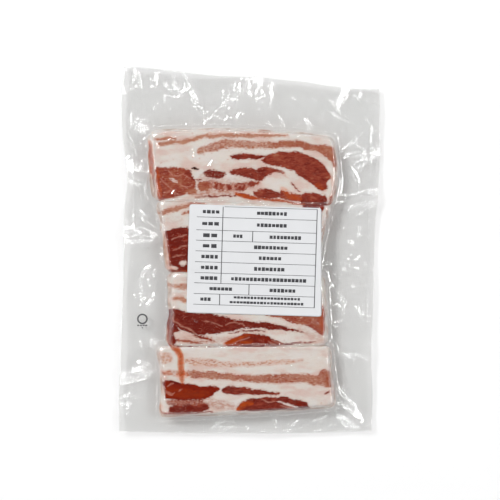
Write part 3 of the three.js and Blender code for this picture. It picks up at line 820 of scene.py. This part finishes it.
# %% Distances to the sketched shapes
VEIN_WIDTH = 2.5  # px, thinner marks of fat are veins, which the lean shines through
NO_LEAN = -30.0  # mm, the depth of places far from any lean
PLAIN_TONE, PLAIN_FLECKS, PLAIN_WEIGHT = 0.4, 0.3, 1e-6  # for those places
NEAR_REACH, NEAR_FADE = (-8, 1.2), 1.6  # mm and share per mm, how shapes nearby share their tone
WOBBLES = [  # how far in mm places stray across and along, with the lengths and bends of the waves
    ((0.4, 1.9, 1.4, 2.7), (0.35, 2.3, 1.3, 1.5)),
    ((0.15, 0.7, 2, 1.1), (0.15, 0.8, 2, 0.9)),
]


def rounded(corners):
    """The corners of an outline as a closed smooth curve."""
    ring = np.asarray(corners, float)
    a, b, c, d = np.roll(ring, 1, 0), ring, np.roll(ring, -1, 0), np.roll(ring, -2, 0)
    parts = [between(a, b, c, d, w) for w in (0.0, 0.34, 0.67)]
    return np.stack(parts, 1).reshape(-1, 2)


def patch_depth(corners, x, y):
    """How deep points lie inside a closed outline, negative outside it."""
    ring = rounded(corners)
    inside, nearest = np.zeros(x.shape, bool), np.full(x.shape, np.inf)
    for (ax, ay), (bx, by) in zip(ring, np.roll(ring, -1, 0)):
        nearest = np.minimum(nearest, near_run((ax, ay), (bx, by), x, y)[0])
        if ay != by:
            inside ^= ((ay > y) != (by > y)) & (x < (bx - ax) * (y - ay) / (by - ay) + ax)
    return np.where(inside, nearest, -nearest)


def streak_depth(points, x, y):
    """How deep points lie inside a line that has a width at each of its points."""
    depth = np.full(x.shape, -np.inf)
    for (ax, ay, aw), (bx, by, bw) in zip(points[:-1], points[1:]):
        away, t = near_run((ax, ay), (bx, by), x, y)
        depth = np.maximum(depth, (aw + (bw - aw) * t) / 2 - away)
    return depth


def is_streak(points):
    return len(points[0]) == 3


def shape_depth(points, x, y):
    placed = at(points, RAISED)
    return streak_depth(placed, x, y) if is_streak(points) else patch_depth(placed, x, y)


def wave(size, length, bend, bend_length, ahead, beside):
    return size * np.sin(ahead / length + bend * np.sin(beside / bend_length))


def wobbled(x, y):
    """Places moved to and fro a little, which makes the sketched edges uneven."""
    for across, along in WOBBLES:
        x, y = x + wave(*across, y, x), y + wave(*along, x, y)
    return x, y


def strongest(shapes, low, high, x, y):
    """The strongest of some soft-edged streaks at each place."""
    most = np.zeros(x.shape)
    for strength, points in shapes:
        most = np.maximum(most, strength * smoothstep(shape_depth(points, x, y), low, high))
    return most


def pattern(number, x, y):
    """Signed distance to the lean's edge, tone, flecks, veins, washes and stains at some places."""
    lean, fat, washes, stains = SKETCHES[number]
    x, y = wobbled(x, y)
    depth = np.full(x.shape, NO_LEAN)
    weight = np.full(x.shape, PLAIN_WEIGHT)
    tone, flecks = PLAIN_TONE * weight, PLAIN_FLECKS * weight
    for shade, share, points in lean:
        one = shape_depth(points, x, y)
        depth = np.maximum(depth, one)
        near = np.exp(np.clip(one, *NEAR_REACH) * NEAR_FADE) / (1 + 0.04 * len(points))
        weight, tone, flecks = weight + near, tone + near * shade, flecks + near * share
    vein = np.zeros(x.shape)
    for points in fat:
        one = shape_depth(points, x, y)
        if is_streak(points) and max(width for _, _, width in points) < VEIN_WIDTH:
            vein = np.maximum(vein, smoothstep(one, -0.5, 0.3))
        else:
            depth = np.minimum(depth, -one)
    wash, stain = strongest(washes, -2.2, 1.6, x, y), strongest(stains, -1.1, 0.9, x, y)
    return depth, tone / weight, flecks / weight, vein, wash, stain


print("depth at the middle of slice 1 in mm:", pattern(0, np.zeros(1), np.full(1, 60.0))[0].round(2))

# %% [markdown]
# ## The slices
# Each slice is a slab too. Its grid is laid in the slice's plan, and where it reaches a free side
# it bulges out as far as the film lets it, as soft meat does under vacuum. Sides that touch the
# next slice stay square. The top hangs just under the film, the bottom just above the lower film,
# and the wall between them is given rows of its own so that it can swell.

# %% Build the slices
BASE_ROUND, BASE_GAP, THINNEST = 3.0, 0.3, 1.0  # mm: lower edge's radius, room below, least height
REACH = [  # mm each side reaches past the plan: free sides bulge, slices 1 and 3 lap their neighbours
    (1.1, 1.1, 1.0, 1.1),
    (0.3, 1.1, 0.3, 1.1),
    (1.0, 1.1, 1.0, 1.1),
    (0.3, 1.1, 1.1, 1.1),
]
UNDER_FILM = [0.2, 0.36, 0.2, 0.36]  # mm between each slice and the film
SWELL = [  # mm each free side's wall swells past its upper edge: top, right, bottom, left
    (1.2, 1.0, 0.0, 3.4),
    (0.0, 1.0, 0.0, 3.0),
    (0.0, 1.2, 0.0, 3.2),
    (0.0, 1.4, 1.4, 1.6),
]
SLICE_CELLS, WALL_CUTS = (250, 96), 7
EDGE_BAND = (-14, -1)  # mm inside the edge, where the grid starts to follow it and where it fully does
PLAN_STEPS, STEP_SHARE = 6, 0.8  # the grid moves to the outline in a few careful steps
SHEAR = (0.05, -0.12)  # mm the pattern slides for each mm down, since muscles run slantwise


def outwards(piece, x, y, grow, e=0.05):
    """The direction straight out of a slice's outline."""
    gx = (outside_slice(piece, x + e, y, grow) - outside_slice(piece, x - e, y, grow)) / (2 * e)
    gy = (outside_slice(piece, x, y + e, grow) - outside_slice(piece, x, y - e, grow)) / (2 * e)
    return gx, gy


def slice_plan(piece, grow, u, v):
    """Places in a slice: the unit square bent to its rounded outline, a little uneven."""
    tl, tr, br, bl = piece["corners"]
    top = np.outer(1 - u, tl) + np.outer(u, tr)
    low = np.outer(1 - u, bl) + np.outer(u, br)
    x, y = (low + (top - low) * v[:, None]).T
    inset = np.maximum(-np.minimum(u, 1 - u) * np.ptp(x), -np.minimum(v, 1 - v) * np.ptp(y))
    uneven = 0.35 + 0.25 * np.sin(x / 5.3 + y / 9) + 0.2 * np.sin(y / 3.1 - x / 11)
    near_edge = smoothstep(inset, *EDGE_BAND)
    goal = inset - uneven * near_edge
    for _ in range(PLAN_STEPS):
        step = (goal - outside_slice(piece, x, y, grow)) * near_edge * STEP_SHARE
        gx, gy = outwards(piece, x, y, grow)
        x, y = x + step * gx, y + step * gy
    return x, y


def between_films(x, y, gap):
    """The lowest and highest places for meat that keeps a gap from both films."""
    upper = front_height(x, y)
    return lower_film(x, y, upper) + gap, upper - gap


def make_slice(number, piece):
    grow, gap = REACH[number], UNDER_FILM[number]
    bm = bmesh.new()
    slab(bm, SLICE_CELLS)
    walls = [edge for edge in bm.edges if abs(edge.verts[0].co.z - edge.verts[1].co.z) > 0.5]
    bmesh.ops.subdivide_edges(bm, edges=walls, cuts=WALL_CUTS, use_grid_fill=True)

    def move(u, v, level):
        x, y = slice_plan(piece, grow, u, v)
        lowest, top = between_films(x, y, gap)
        out = outside_slice(piece, x, y, grow)
        round_off = np.clip(BASE_ROUND + out, 0, BASE_ROUND)
        base = BASE_GAP + BASE_ROUND - np.sqrt(np.maximum(BASE_ROUND**2 - round_off**2, 0))
        base = np.minimum(np.maximum(base, lowest), top - THINNEST)
        gx, gy = outwards(piece, x, y, grow)
        ways = zip(SWELL[number], (gy, gx, -gy, -gx))
        free = sum(share * np.maximum(way, 0) ** 2 for share, way in ways)
        push = free * smoothstep(out, -1.5, -0.4) * np.sin(np.pi * np.clip(-level, 0, 1))
        z = top + (base - top) * -level
        x, y = x + push * gx, y + push * gy
        low, high = between_films(x, y, gap)
        swollen = np.clip(z, np.minimum(low, high - BASE_GAP), high)
        return x, y, np.where(push > 0.01, swollen, z)

    made = piece_from(bm, f"slice_{number + 1}", move)
    x, y, z = coordinates(made.data).T / MM
    x, y = x - SHIFT[0], y - SHIFT[1]
    below = piece["thickness"] - z
    values = pattern(number, x + SHEAR[0] * below, y + SHEAR[1] * below)
    for name, value in zip(("lean", "tone", "flecks", "vein", "wash", "stain"), values):
        store(made.data, name, value)
    store(made.data, "side", np.maximum(outside_slice(piece, x, y), -6))
    print(f"slice {number + 1}: {np.mean(values[0] > 0):.0%} lean")
    return made


slices = [make_slice(number, piece) for number, piece in enumerate(SLICES)]

# %% [markdown]
# ## Juice
# Vacuum draws a little red-brown juice out of the meat. It gathers in the grooves between slices
# and along their left ends. Each pool is a thin ribbon with a width at each point. It reaches from
# just under the upper film into the meat's surface, which it wets.

# %% Build the juice
JUICE = [  # (lowest and highest below the film in mm, points with widths in px)
    (0.24, 0.06, [(171.6, 344.6, 4), (173.4, 348, 7.4), (177, 350.5, 7.8), (180.2, 356, 6.8),
                  (180.6, 366.4, 7.2), (181.2, 375, 6.8), (181.7, 380.6, 5.4), (181.8, 384, 2)]),
    (0.5, 0.06, [(169.6, 322, 1), (168.6, 332, 2.6), (169, 340, 3.6), (171.5, 346, 3.6),
                 (175, 349, 1.5)]),
    (0.5, 0.06, [(162.8, 236, 1), (163.2, 246, 2), (164.4, 256, 2.4), (166.4, 266, 1.6)]),
    (0.5, 0.06, [(159.6, 404, 1), (159.4, 412, 2.8), (161.5, 417.5, 3.4), (170, 418.2, 2.4),
                 (186, 417, 1)]),
    (0.5, 0.06, [(149.6, 142, 1), (149.4, 150, 2.4), (150.4, 160, 2.4), (151.6, 168, 1)]),
]
RIBBON_CELL, RIBBON_ROWS, RIM = 0.8, 8, 0.02  # mm along, cells across, mm thick at the rim


def along_line(points, t):
    """Places and widths along a jointed line, t from 0 to 1, with the direction across it."""
    points = np.asarray(points, float)
    lengths = np.hypot(*np.diff(points[:, :2], axis=0).T)
    run = np.concatenate([[0], np.cumsum(lengths)]) / lengths.sum()
    x, y, width = (np.interp(t, run, points[:, k]) for k in range(3))
    e = 0.02
    dx = np.interp(t + e, run, points[:, 0]) - np.interp(t - e, run, points[:, 0])
    dy = np.interp(t + e, run, points[:, 1]) - np.interp(t - e, run, points[:, 1])
    size = np.hypot(dx, dy)
    return x, y, width, -dy / size, dx / size


def make_ribbon(name, deep, shallow, points):
    placed = at(points, RAISED)
    length = np.hypot(*np.diff(placed[:, :2], axis=0).T).sum()
    bm = bmesh.new()
    slab(bm, (max(12, round(float(length / RIBBON_CELL))), RIBBON_ROWS))

    def move(u, v, level):
        x, y, width, across_x, across_y = along_line(placed, u)
        x, y = x + (v - 0.5) * width * across_x, y + (v - 0.5) * width * across_y
        arch = np.sqrt(np.clip(1 - (2 * v - 1) ** 2, 0, 1))
        under = front_height(x, y) - deep
        top = under + RIM + (deep - RIM - shallow) * arch
        return x, y, np.where(level < -0.5, under, top)

    made = piece_from(bm, name, move)
    x, y, _ = coordinates(made.data).T / MM
    store(made.data, "body", streak_depth(placed, x - SHIFT[0], y - SHIFT[1]))
    return made


juices = [make_ribbon(f"juice_{k + 1}", *pool) for k, pool in enumerate(JUICE)]

# %% [markdown]
# ## The label
# The sticker is a thin paper rectangle with small round corners, a little askew, laid over the
# second and third slices. It bridges the groove between them with a slight sag. Its table is
# printed: rules are long thin fields, and each group of marks is a row of plain blocks.

# %% Build the label
LABEL_SIZE, LABEL_CENTRE, LABEL_CORNER = (105.0, 85.0), (4.2, -8.6), 2.0
LABEL_TURN = math.radians(-1.75)
LABEL_CELLS = (105, 85)
PAPER = 0.2  # mm
GROOVE, GROOVE_WIDTH, SAG = -19.0, 3.5, 0.35  # mm, where the groove runs, and the sag over it
LABEL_GAP, LABEL_WAVE = 0.1, 0.05  # mm the label stands off the film, and how much that varies
BEND_AT, BEND_HEIGHT, BEND_WIDTH = 14.6, 0.12, 0.6  # a faint crease down the paper
SKEW, SKEW_TURN = 0.9, 2.7  # mm the right edge stands out at the foot, and how much less at the head


def on_pouch(u, v):
    """A place on the label, measured from its centre, in the measuring frame."""
    cos, sin = math.cos(LABEL_TURN), math.sin(LABEL_TURN)
    return LABEL_CENTRE[0] + u * cos - v * sin, LABEL_CENTRE[1] + u * sin + v * cos


def label_height(x, y):
    """The label's underside: on slice 2, sagging over the groove, then on slice 3."""
    start, end = SLICES[1]["thickness"], SLICES[2]["thickness"]
    down = start + (end - start) * smoothstep(GROOVE - y, 0, 12)
    sag = SAG * np.exp(-(((y - GROOVE) / GROOVE_WIDTH) ** 2))
    bend = BEND_HEIGHT * np.exp(-np.abs(x - BEND_AT) / BEND_WIDTH)
    return down + LABEL_GAP - sag + bend + LABEL_WAVE * np.sin(x / 9 + y / 14)


def move_label(u, v, level):
    wide, tall = LABEL_SIZE
    u, v = (u - 0.5) * wide, (v - 0.5) * tall
    du = np.maximum(np.abs(u) - wide / 2 + LABEL_CORNER, 0)
    dv = np.maximum(np.abs(v) - tall / 2 + LABEL_CORNER, 0)
    in_u = 1 - np.sqrt(1 - dv**2 / (2 * LABEL_CORNER**2))
    in_v = 1 - np.sqrt(1 - du**2 / (2 * LABEL_CORNER**2))
    u, v = u - np.sign(u) * du * in_u, v - np.sign(v) * dv * in_v
    right = SKEW - SKEW_TURN * (v / tall + 0.5)
    x, y = on_pouch(u + right * (u / wide + 0.5), v)
    under = label_height(x, y)
    return x, y, np.where(level < -0.5, under, under + PAPER)


bm = bmesh.new()
slab(bm, LABEL_CELLS)
label = piece_from(bm, "label_paper", move_label)

# %% Print the table
ROWS = [41.2, 32.7, 22.6, 14.4, 6.1, -2.4, -10.9, -18.9, -27.3, -35.7]  # mm, rules, top to bottom
RULE = 0.36
MARK_TALL, SMALL_TALL = 3.0, 2.0  # mm, the blocks in the table and in its small print
INK_SINK, INK_RISE = 0.05, 0.06  # mm the print reaches into and out of the paper
FIELDS = [(-25.0, 47.7, ROWS[0] - RULE / 2, ROWS[0] + RULE / 2)]
FIELDS += [(-46.3 - 0.1 * k, 47.7, v - RULE / 2, v + RULE / 2) for k, v in enumerate(ROWS) if k]
FIELDS += [(47.2, 47.8, ROWS[-1], ROWS[0]), (-26.4, -25.8, ROWS[7], ROWS[0])]
FIELDS += [(-27.0, -26.4, ROWS[9], ROWS[8]), (-2.7, -2.1, ROWS[3], ROWS[2])]
FIELDS += [(-4.3, -3.7, ROWS[8], ROWS[7])]
KEYS = [(-42.4, -28.6, 4), (-42.4, -28.6, 3), (-41.6, -29.4, 2), (-41.6, -29.4, 2), (-42.4, -28.6, 4),
        (-42.4, -28.6, 4), (-42.4, -28.6, 4), (-35.1, -17.0, 6), (-42.0, -33.6, 3)]  # start, end, blocks
VALUES = [(0, 0.3, 24.2, 8), (1, 0.3, 24.2, 8), (2, -17.8, -10.1, 3), (2, 10.7, 35.7, 9),
          (3, -1.2, 25.3, 9), (4, 2.6, 20.7, 6), (5, -0.8, 23.4, 8), (6, -18.6, 40.7, 20),
          (7, 11.9, 32.6, 7)]  # row, start, end, blocks
SMALL = [(-15.9, 36.5, 20, -29.4), (-18.9, 39.2, 22, -33.2)]  # start, end, blocks, height


def spread(start, end, count, middle, tall, rng):
    """A row of small fields between two places, with gaps and widths that vary a little."""
    pitch = (end - start) / count
    made = []
    for k in range(count):
        width, high = pitch * rng.uniform(0.68, 0.9), tall * rng.uniform(0.75, 1.0)
        left = start + k * pitch + (pitch - width) / 2
        made.append((left, left + width, middle - high / 2, middle + high / 2))
    return made


def make_print():
    rng = np.random.default_rng(3)
    fields = list(FIELDS)
    for row, start, end, count in [(row, *key) for row, key in enumerate(KEYS)] + VALUES:
        middle = (ROWS[row] + ROWS[row + 1]) / 2
        fields += spread(start, end, count, middle, MARK_TALL, rng)
    for start, end, count, middle in SMALL:
        fields += spread(start, end, count, middle, SMALL_TALL, rng)
    bm = bmesh.new()
    for left, right, low, high in fields:
        cells = max(1, round(right - left)), max(1, round(high - low))
        oblong(bm, cells, (right - left, high - low), ((left + right) / 2, (low + high) / 2))
    thicken(bm)

    def move(u, v, level):
        x, y = on_pouch(u, v)
        return x, y, label_height(x, y) + PAPER + np.where(level < -0.5, -INK_SINK, INK_RISE)

    print("printed fields:", len(fields))
    return piece_from(bm, "label_print", move)


label_print = make_print()

# %% [markdown]
# ## A mark on the film
# The left margin carries a small printed mark. Here it is a plain ring over a row of dashes, laid
# just above the film.

# %% Build the mark
MARK = (142.5, 319.0)  # px
MARK_RING = (3.0, 4.15)  # mm, inner and outer radius
DASHES = [  # mm across, along and wide
    (-3.2, -5.1, 1.5), (-1.1, -5.1, 1.5), (1.0, -5.1, 1.5), (3.1, -5.1, 1.5), (0, -7.0, 0.9),
]


def make_mark():
    bm = bmesh.new()
    rings = [bmesh.ops.create_circle(bm, segments=64, radius=radius)["verts"] for radius in MARK_RING]
    edges = list({edge for ring in rings for vert in ring for edge in vert.link_edges})
    bmesh.ops.bridge_loops(bm, edges=edges)
    for across, along, wide in DASHES:
        oblong(bm, (3, 1), (wide, 1.0), (across, along))
    thicken(bm)
    middle = at([MARK])[0]

    def move(u, v, level):
        x, y = middle[0] + u, middle[1] + v
        return x, y, film_top(x, y) + np.where(level < -0.5, 0.02, 0.06)

    return piece_from(bm, "film_mark", move)


mark = make_mark()

# %% [markdown]
# ## The film's finish
# Film thinner than a hair neither bends light nor shows a colour of its own: it dims what lies
# behind it a little and mirrors what stands round it. A tinted Transparent shader gives the first
# and a Glossy one the second. How much is mirrored grows with the slope, up to all of it at a
# glancing view. The Facing output measures that slope alike on both sides of the film. Fine
# wrinkles are too many to model, so they are bumps.

# %% Film material
def film_material():
    g = Graph("clear_film")
    fine = g.noise(900, 4, 0.6, stretch=(1, 0.6, 1), distortion=0.4)
    broad = g.noise(160, 2, 0.5, distortion=0.8)
    line = g.math("ABSOLUTE", g.centred(g.noise(190, 3, 0.55, distortion=1.2)))
    ridge = g.patchy(g.ease(line, 0.0, 0.035, 1.0, 0.0), g.noise(70, 2, 0.5), 0.54, 0.64)
    height = g.scaled(ridge, 2.6, g.scaled(broad, 2.2, fine))
    bump = g.node("Bump", {"Strength": 0.2, "Distance": 0.0006, "Height": height}).outputs[0]
    facing = g.node("LayerWeight", {"Blend": 0.5, "Normal": bump}).outputs["Facing"]
    mirrored = g.math("MULTIPLY", g.math("POWER", facing, 4.0), 0.9)
    share = g.math("ADD", mirrored, g.ease(facing, 0.02, 0.09, 0.08, 0.15), clamp=True)
    clear = g.node("BsdfTransparent", {"Color": (0.96, 0.96, 0.956, 1)}).outputs[0]
    sheen = {"Color": (1, 1, 1, 1), "Roughness": 0.15, "Normal": bump}
    gloss = g.node("BsdfGlossy", sheen).outputs[0]
    return g.finish(g.node("MixShader", {0: share, 1: clear, 2: gloss}).outputs[0])


film.data.materials.append(film_material())
print("film:", film.data.materials[0].name)

# %% [markdown]
# ## The meat's finish
# One material serves all four slices. Where the stored distance is above nought it paints lean,
# otherwise fat, and noise makes the edge ragged. The lean runs from orange-brown to wine red by
# its tone, with fine fibres, pale flecks and thin veins of fat. The fat is creamy with pink
# drifts and pinker beside the lean. On the slices' walls it is painted a darker brown, partly the
# walls' own colour and partly painted shade along the edges. Juice stains both orange. A little
# subsurface scattering lets light soften the fat from inside.

# %% Meat material
LEAN_COLOURS = [  # by tone
    (0.0, (194, 146, 124)), (0.2, (179, 125, 102)), (0.32, (165, 98, 74)), (0.45, (146, 61, 45)),
    (0.6, (107, 28, 19)), (0.76, (134, 31, 4)), (0.9, (90, 14, 10)), (1.0, (56, 12, 10)),
]
FAT_COLOURS = [(0.38, (214, 192, 184)), (0.48, (217, 207, 200)), (0.58, (219, 213, 208))]
STAINED = 0.8  # the share of colour a full stain takes over


def ramp(g, value, stops):
    made = g.node("ValToRGB", {0: value})
    elements = made.color_ramp.elements
    for k, (place, colour) in enumerate(stops):
        element = elements[k] if k < 2 else elements.new(place)
        element.position, element.color = place, seen(*colour)
    return made.outputs["Color"]


def lean_share(g, depth, flecks):
    """One in the lean and nought in the fat, with a ragged edge and, where flecks rule, gaps."""
    ragged = g.centred(g.noise(760, 6, 0.68, stretch=(0.65, 1.3, 0.7)))
    edge = g.scaled(ragged, g.scaled(flecks, 4.0, 4.0), depth)
    broken = g.ease(g.noise(680, 4, 0.65, stretch=(0.75, 1.2, 0.8)), 0.47, 0.53)
    whole = g.math("MAXIMUM", broken, g.ease(flecks, 0.75, 1.4, 1.0, 0.05))
    return g.math("MULTIPLY", g.ease(edge, -0.35, 0.5), whole)


def lean_finish(g, flecks, fibre, stain):
    cloud = g.noise(170, 3, 0.6, stretch=(0.7, 1.2, 1))
    clouded = g.scaled(g.centred(cloud), 0.45, g.attribute("tone"))
    colour = ramp(g, g.scaled(g.centred(fibre), 0.4, clouded), LEAN_COLOURS)

    speck = g.noise(880, 5, 0.7, stretch=(0.6, 1.25, 0.8), distortion=0.6)
    over = g.math("SUBTRACT", speck, g.scaled(flecks, -0.17, 0.72))
    speckled = g.math("MULTIPLY", g.ease(over, -0.015, 0.07), 0.85)
    colour = g.blend(speckled, colour, seen(212, 172, 152))

    thread = g.centred(g.noise(230, 4, 0.55, stretch=(0.6, 1.3, 1), distortion=1.2))
    thread = g.ease(g.math("ABSOLUTE", thread), 0.0, 0.016, 1.0, 0.0)
    thread = g.patchy(g.patchy(thread, cloud, 0.47, 0.6, 0.0, 0.7), flecks, 0.0, 0.3)
    drawn = g.patchy(g.attribute("vein"), speck, 0.38, 0.58, 0.2, 0.7)
    colour = g.blend(g.math("MAXIMUM", thread, drawn), colour, seen(200, 142, 124))
    return g.blend(stain, colour, seen(188, 78, 22))


def fat_finish(g, depth, stain):
    drift = g.noise(75, 5, 0.6, stretch=(0.6, 1.5, 1))
    colour = ramp(g, drift, FAT_COLOURS)
    blush = g.math("MULTIPLY", g.ease(depth, -1.6, -0.1), 0.4)
    colour = g.blend(blush, colour, seen(208, 168, 152))
    spot = g.math("MULTIPLY", g.ease(g.noise(420, 3, 0.5), 0.66, 0.74), 0.5)
    colour = g.blend(spot, colour, seen(196, 132, 112))
    thin = g.noise(420, 5, 0.7, stretch=(0.6, 1.3, 1))
    wash = g.patchy(g.attribute("wash"), thin, 0.36, 0.62, 0.15, 1.0)
    colour = g.blend(wash, colour, seen(184, 128, 108))
    # Painted shade, in part: just outside the slice's plan, the walls turn a darker brown. Some of it is
    # their own colour, and some is the thin dark line of shade along the edges.
    side = g.ease(g.attribute("side"), 0.1, 1.0)
    side = g.patchy(side, g.noise(110, 3, 0.6), 0.42, 0.62, 0.0, 0.6)
    colour = g.blend(side, colour, seen(160, 112, 82))
    return g.blend(stain, colour, seen(216, 122, 74))


def meat_material():
    g = Graph("pork")
    depth, flecks = g.attribute("lean"), g.attribute("flecks")
    fibre = g.noise(640, 5, 0.65, stretch=(0.45, 1.5, 0.8))
    run = g.noise(330, 4, 0.6, stretch=(0.6, 1.3, 1))
    stain = g.patchy(g.attribute("stain"), run, 0.38, 0.6, 0.45, 1.0)
    stain = g.math("MULTIPLY", stain, STAINED)
    lean = lean_share(g, depth, flecks)
    colour = g.blend(lean, fat_finish(g, depth, stain), lean_finish(g, flecks, fibre, stain))
    relief = g.scaled(fibre, 0.8, g.noise(1300, 3, 0.6))
    bump = g.node("Bump", {"Strength": 0.4, "Distance": 0.0005, "Height": relief}).outputs[0]
    soft = g.ease(lean, 0, 1, 0.25, 0.04)
    inputs = {"Base Color": colour, "Roughness": 0.5, "Specular IOR Level": 0.03, "Normal": bump}
    inputs |= {"Subsurface Weight": soft, "Subsurface Scale": 0.001}
    inputs |= {"Subsurface Radius": (1.0, 0.45, 0.3)}
    return g.finish(g.node("BsdfPrincipled", inputs).outputs[0])


pork = meat_material()
for piece in slices:
    piece.data.materials.append(pork)
print("slices share:", pork.name)

# %% [markdown]
# ## Juice, paper and ink
# The juice is watery, so part of the light passes through it. Paper is matt with a faint fibre
# grain, and ink is uneven where the printer's head missed a little.

# %% Other materials
def juice_material():
    g = Graph("meat_juice")
    thick = g.noise(260, 3, 0.6)
    colour = g.blend(g.ease(thick, 0.35, 0.65), rgb(222, 122, 66), rgb(206, 98, 48))
    inputs = {"Base Color": colour, "Roughness": 0.4, "Specular IOR Level": 0.1}
    body = g.node("BsdfPrincipled", inputs).outputs[0]
    clear = g.node("BsdfTransparent", {"Color": (0.99, 0.92, 0.87, 1)}).outputs[0]
    share = g.ease(g.scaled(thick, 1.4, g.attribute("body")), 0.6, 3.4, 0.0, 0.3)
    return g.finish(g.node("MixShader", {0: share, 1: clear, 2: body}).outputs[0])


def paper_material():
    g = Graph("label_stock")
    grain = g.noise(2600, 4, 0.6)
    colour = g.blend(g.noise(90, 2), rgb(215, 216, 218), rgb(221, 222, 224))
    bump = g.node("Bump", {"Strength": 0.15, "Distance": 0.0001, "Height": grain}).outputs[0]
    inputs = {"Base Color": colour, "Roughness": 0.7, "Normal": bump}
    return g.finish(g.node("BsdfPrincipled", inputs).outputs[0])


def ink_material(name, pale, dark):
    g = Graph(name)
    colour = g.blend(g.noise(1500, 3, 0.6), dark, pale)
    inputs = {"Base Color": colour, "Roughness": 0.6}
    return g.finish(g.node("BsdfPrincipled", inputs).outputs[0])


juice_finish = juice_material()
for piece in juices:
    piece.data.materials.append(juice_finish)
label.data.materials.append(paper_material())
label_print.data.materials.append(ink_material("ink", rgb(68, 68, 72), rgb(40, 40, 44)))
mark.data.materials.append(ink_material("film_ink", rgb(90, 90, 92), rgb(50, 50, 52)))
print("materials:", sorted(m.name for m in bpy.data.materials))

# %% [markdown]
# ## Table and light
# The table is plain and near white. A large soft light stands to the upper left, so a short shadow
# falls to the right and below. A weaker one to the right fills that in. A ring of small lights
# stands round the table, and each crease mirrors those it faces. The sky is dim, or its mirror
# image would veil the meat.

# %% Floor and lights
KEY = ((-1.86, 1.56, 2.34), 0.72, 62.0)  # place in m, width in m, watts
FILL = ((1.08, 0.10, 1.08), 0.3, 3.6)
RING = 21  # small lights round the table, so that a crease glints whichever way it runs
RING_WATTS, RING_WIDTH, RING_AWAY = 0.75, 0.075, 1.55
RING_START, RING_TILTS = 20, (44, 57)  # degrees: the first one's turn, and overhead angles in turn
TABLE_SIZE, TABLE_DROP = 4.0, 0.0001  # m
SKY = [(0.0, 0.14), (0.4, 0.18), (0.52, 0.34), (0.78, 0.34), (0.89, 0.04)]  # share of the way up, brightness


def ring_places():
    """Where the ring's lights stand, nearer overhead and further down by turns."""
    places = []
    for k in range(RING):
        turn, tilt = math.radians(RING_START + 360 * k / RING), math.radians(RING_TILTS[k % 2])
        flat = RING_AWAY * math.sin(tilt)
        places.append((flat * math.cos(turn), flat * math.sin(turn), RING_AWAY * math.cos(tilt)))
    return places


LIGHTS = [KEY, FILL] + [(place, RING_WIDTH, RING_WATTS) for place in ring_places()]


def make_floor():
    bm = bmesh.new()
    bmesh.ops.create_grid(bm, x_segments=8, y_segments=8, size=TABLE_SIZE)
    mesh = bpy.data.meshes.new("table")
    bm.to_mesh(mesh)
    bm.free()
    floor = bpy.data.objects.new("table", mesh)
    bpy.context.scene.collection.objects.link(floor)
    floor.location.z = -TABLE_DROP
    g = Graph("table_top")
    colour = g.blend(g.noise(4, 3), rgb(244, 244, 244), rgb(247, 247, 247))
    floor.data.materials.append(g.finish(g.node("BsdfDiffuse", {"Color": colour}).outputs[0]))


def make_lights():
    for k, (place, width, watts) in enumerate(LIGHTS):
        light = bpy.data.lights.new(f"softbox_{k + 1}", "AREA")
        light.size, light.energy = width, watts
        lamp = bpy.data.objects.new(light.name, light)
        lamp.location = place
        lamp.rotation_euler = Vector(place).to_track_quat("Z", "Y").to_euler()
        bpy.context.scene.collection.objects.link(lamp)


def make_sky():
    world = bpy.data.worlds.new("sky")
    world.use_nodes = True
    tree = world.node_tree
    where = tree.nodes.new("ShaderNodeTexCoord")
    split = tree.nodes.new("ShaderNodeSeparateXYZ")
    ring = tree.nodes.new("ShaderNodeValToRGB")
    ring.color_ramp.interpolation = "EASE"
    for k, (place, bright) in enumerate(SKY):
        element = ring.color_ramp.elements[k] if k < 2 else ring.color_ramp.elements.new(place)
        element.position, element.color = place, (bright, bright, bright, 1)
    tree.links.new(where.outputs["Generated"], split.inputs[0])
    tree.links.new(split.outputs["Z"], ring.inputs[0])
    tree.links.new(ring.outputs["Color"], tree.nodes["Background"].inputs["Strength"])
    tree.nodes["Background"].inputs["Color"].default_value = (1, 1, 1, 1)
    bpy.context.scene.world = world
    bpy.context.scene.view_settings.view_transform = "Standard"


make_floor()
make_lights()
make_sky()
print("lights:", len(LIGHTS))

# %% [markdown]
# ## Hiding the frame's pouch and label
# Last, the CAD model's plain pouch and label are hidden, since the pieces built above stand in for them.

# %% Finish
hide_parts("pouch")
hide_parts("label")

bpy.context.view_layer.update()
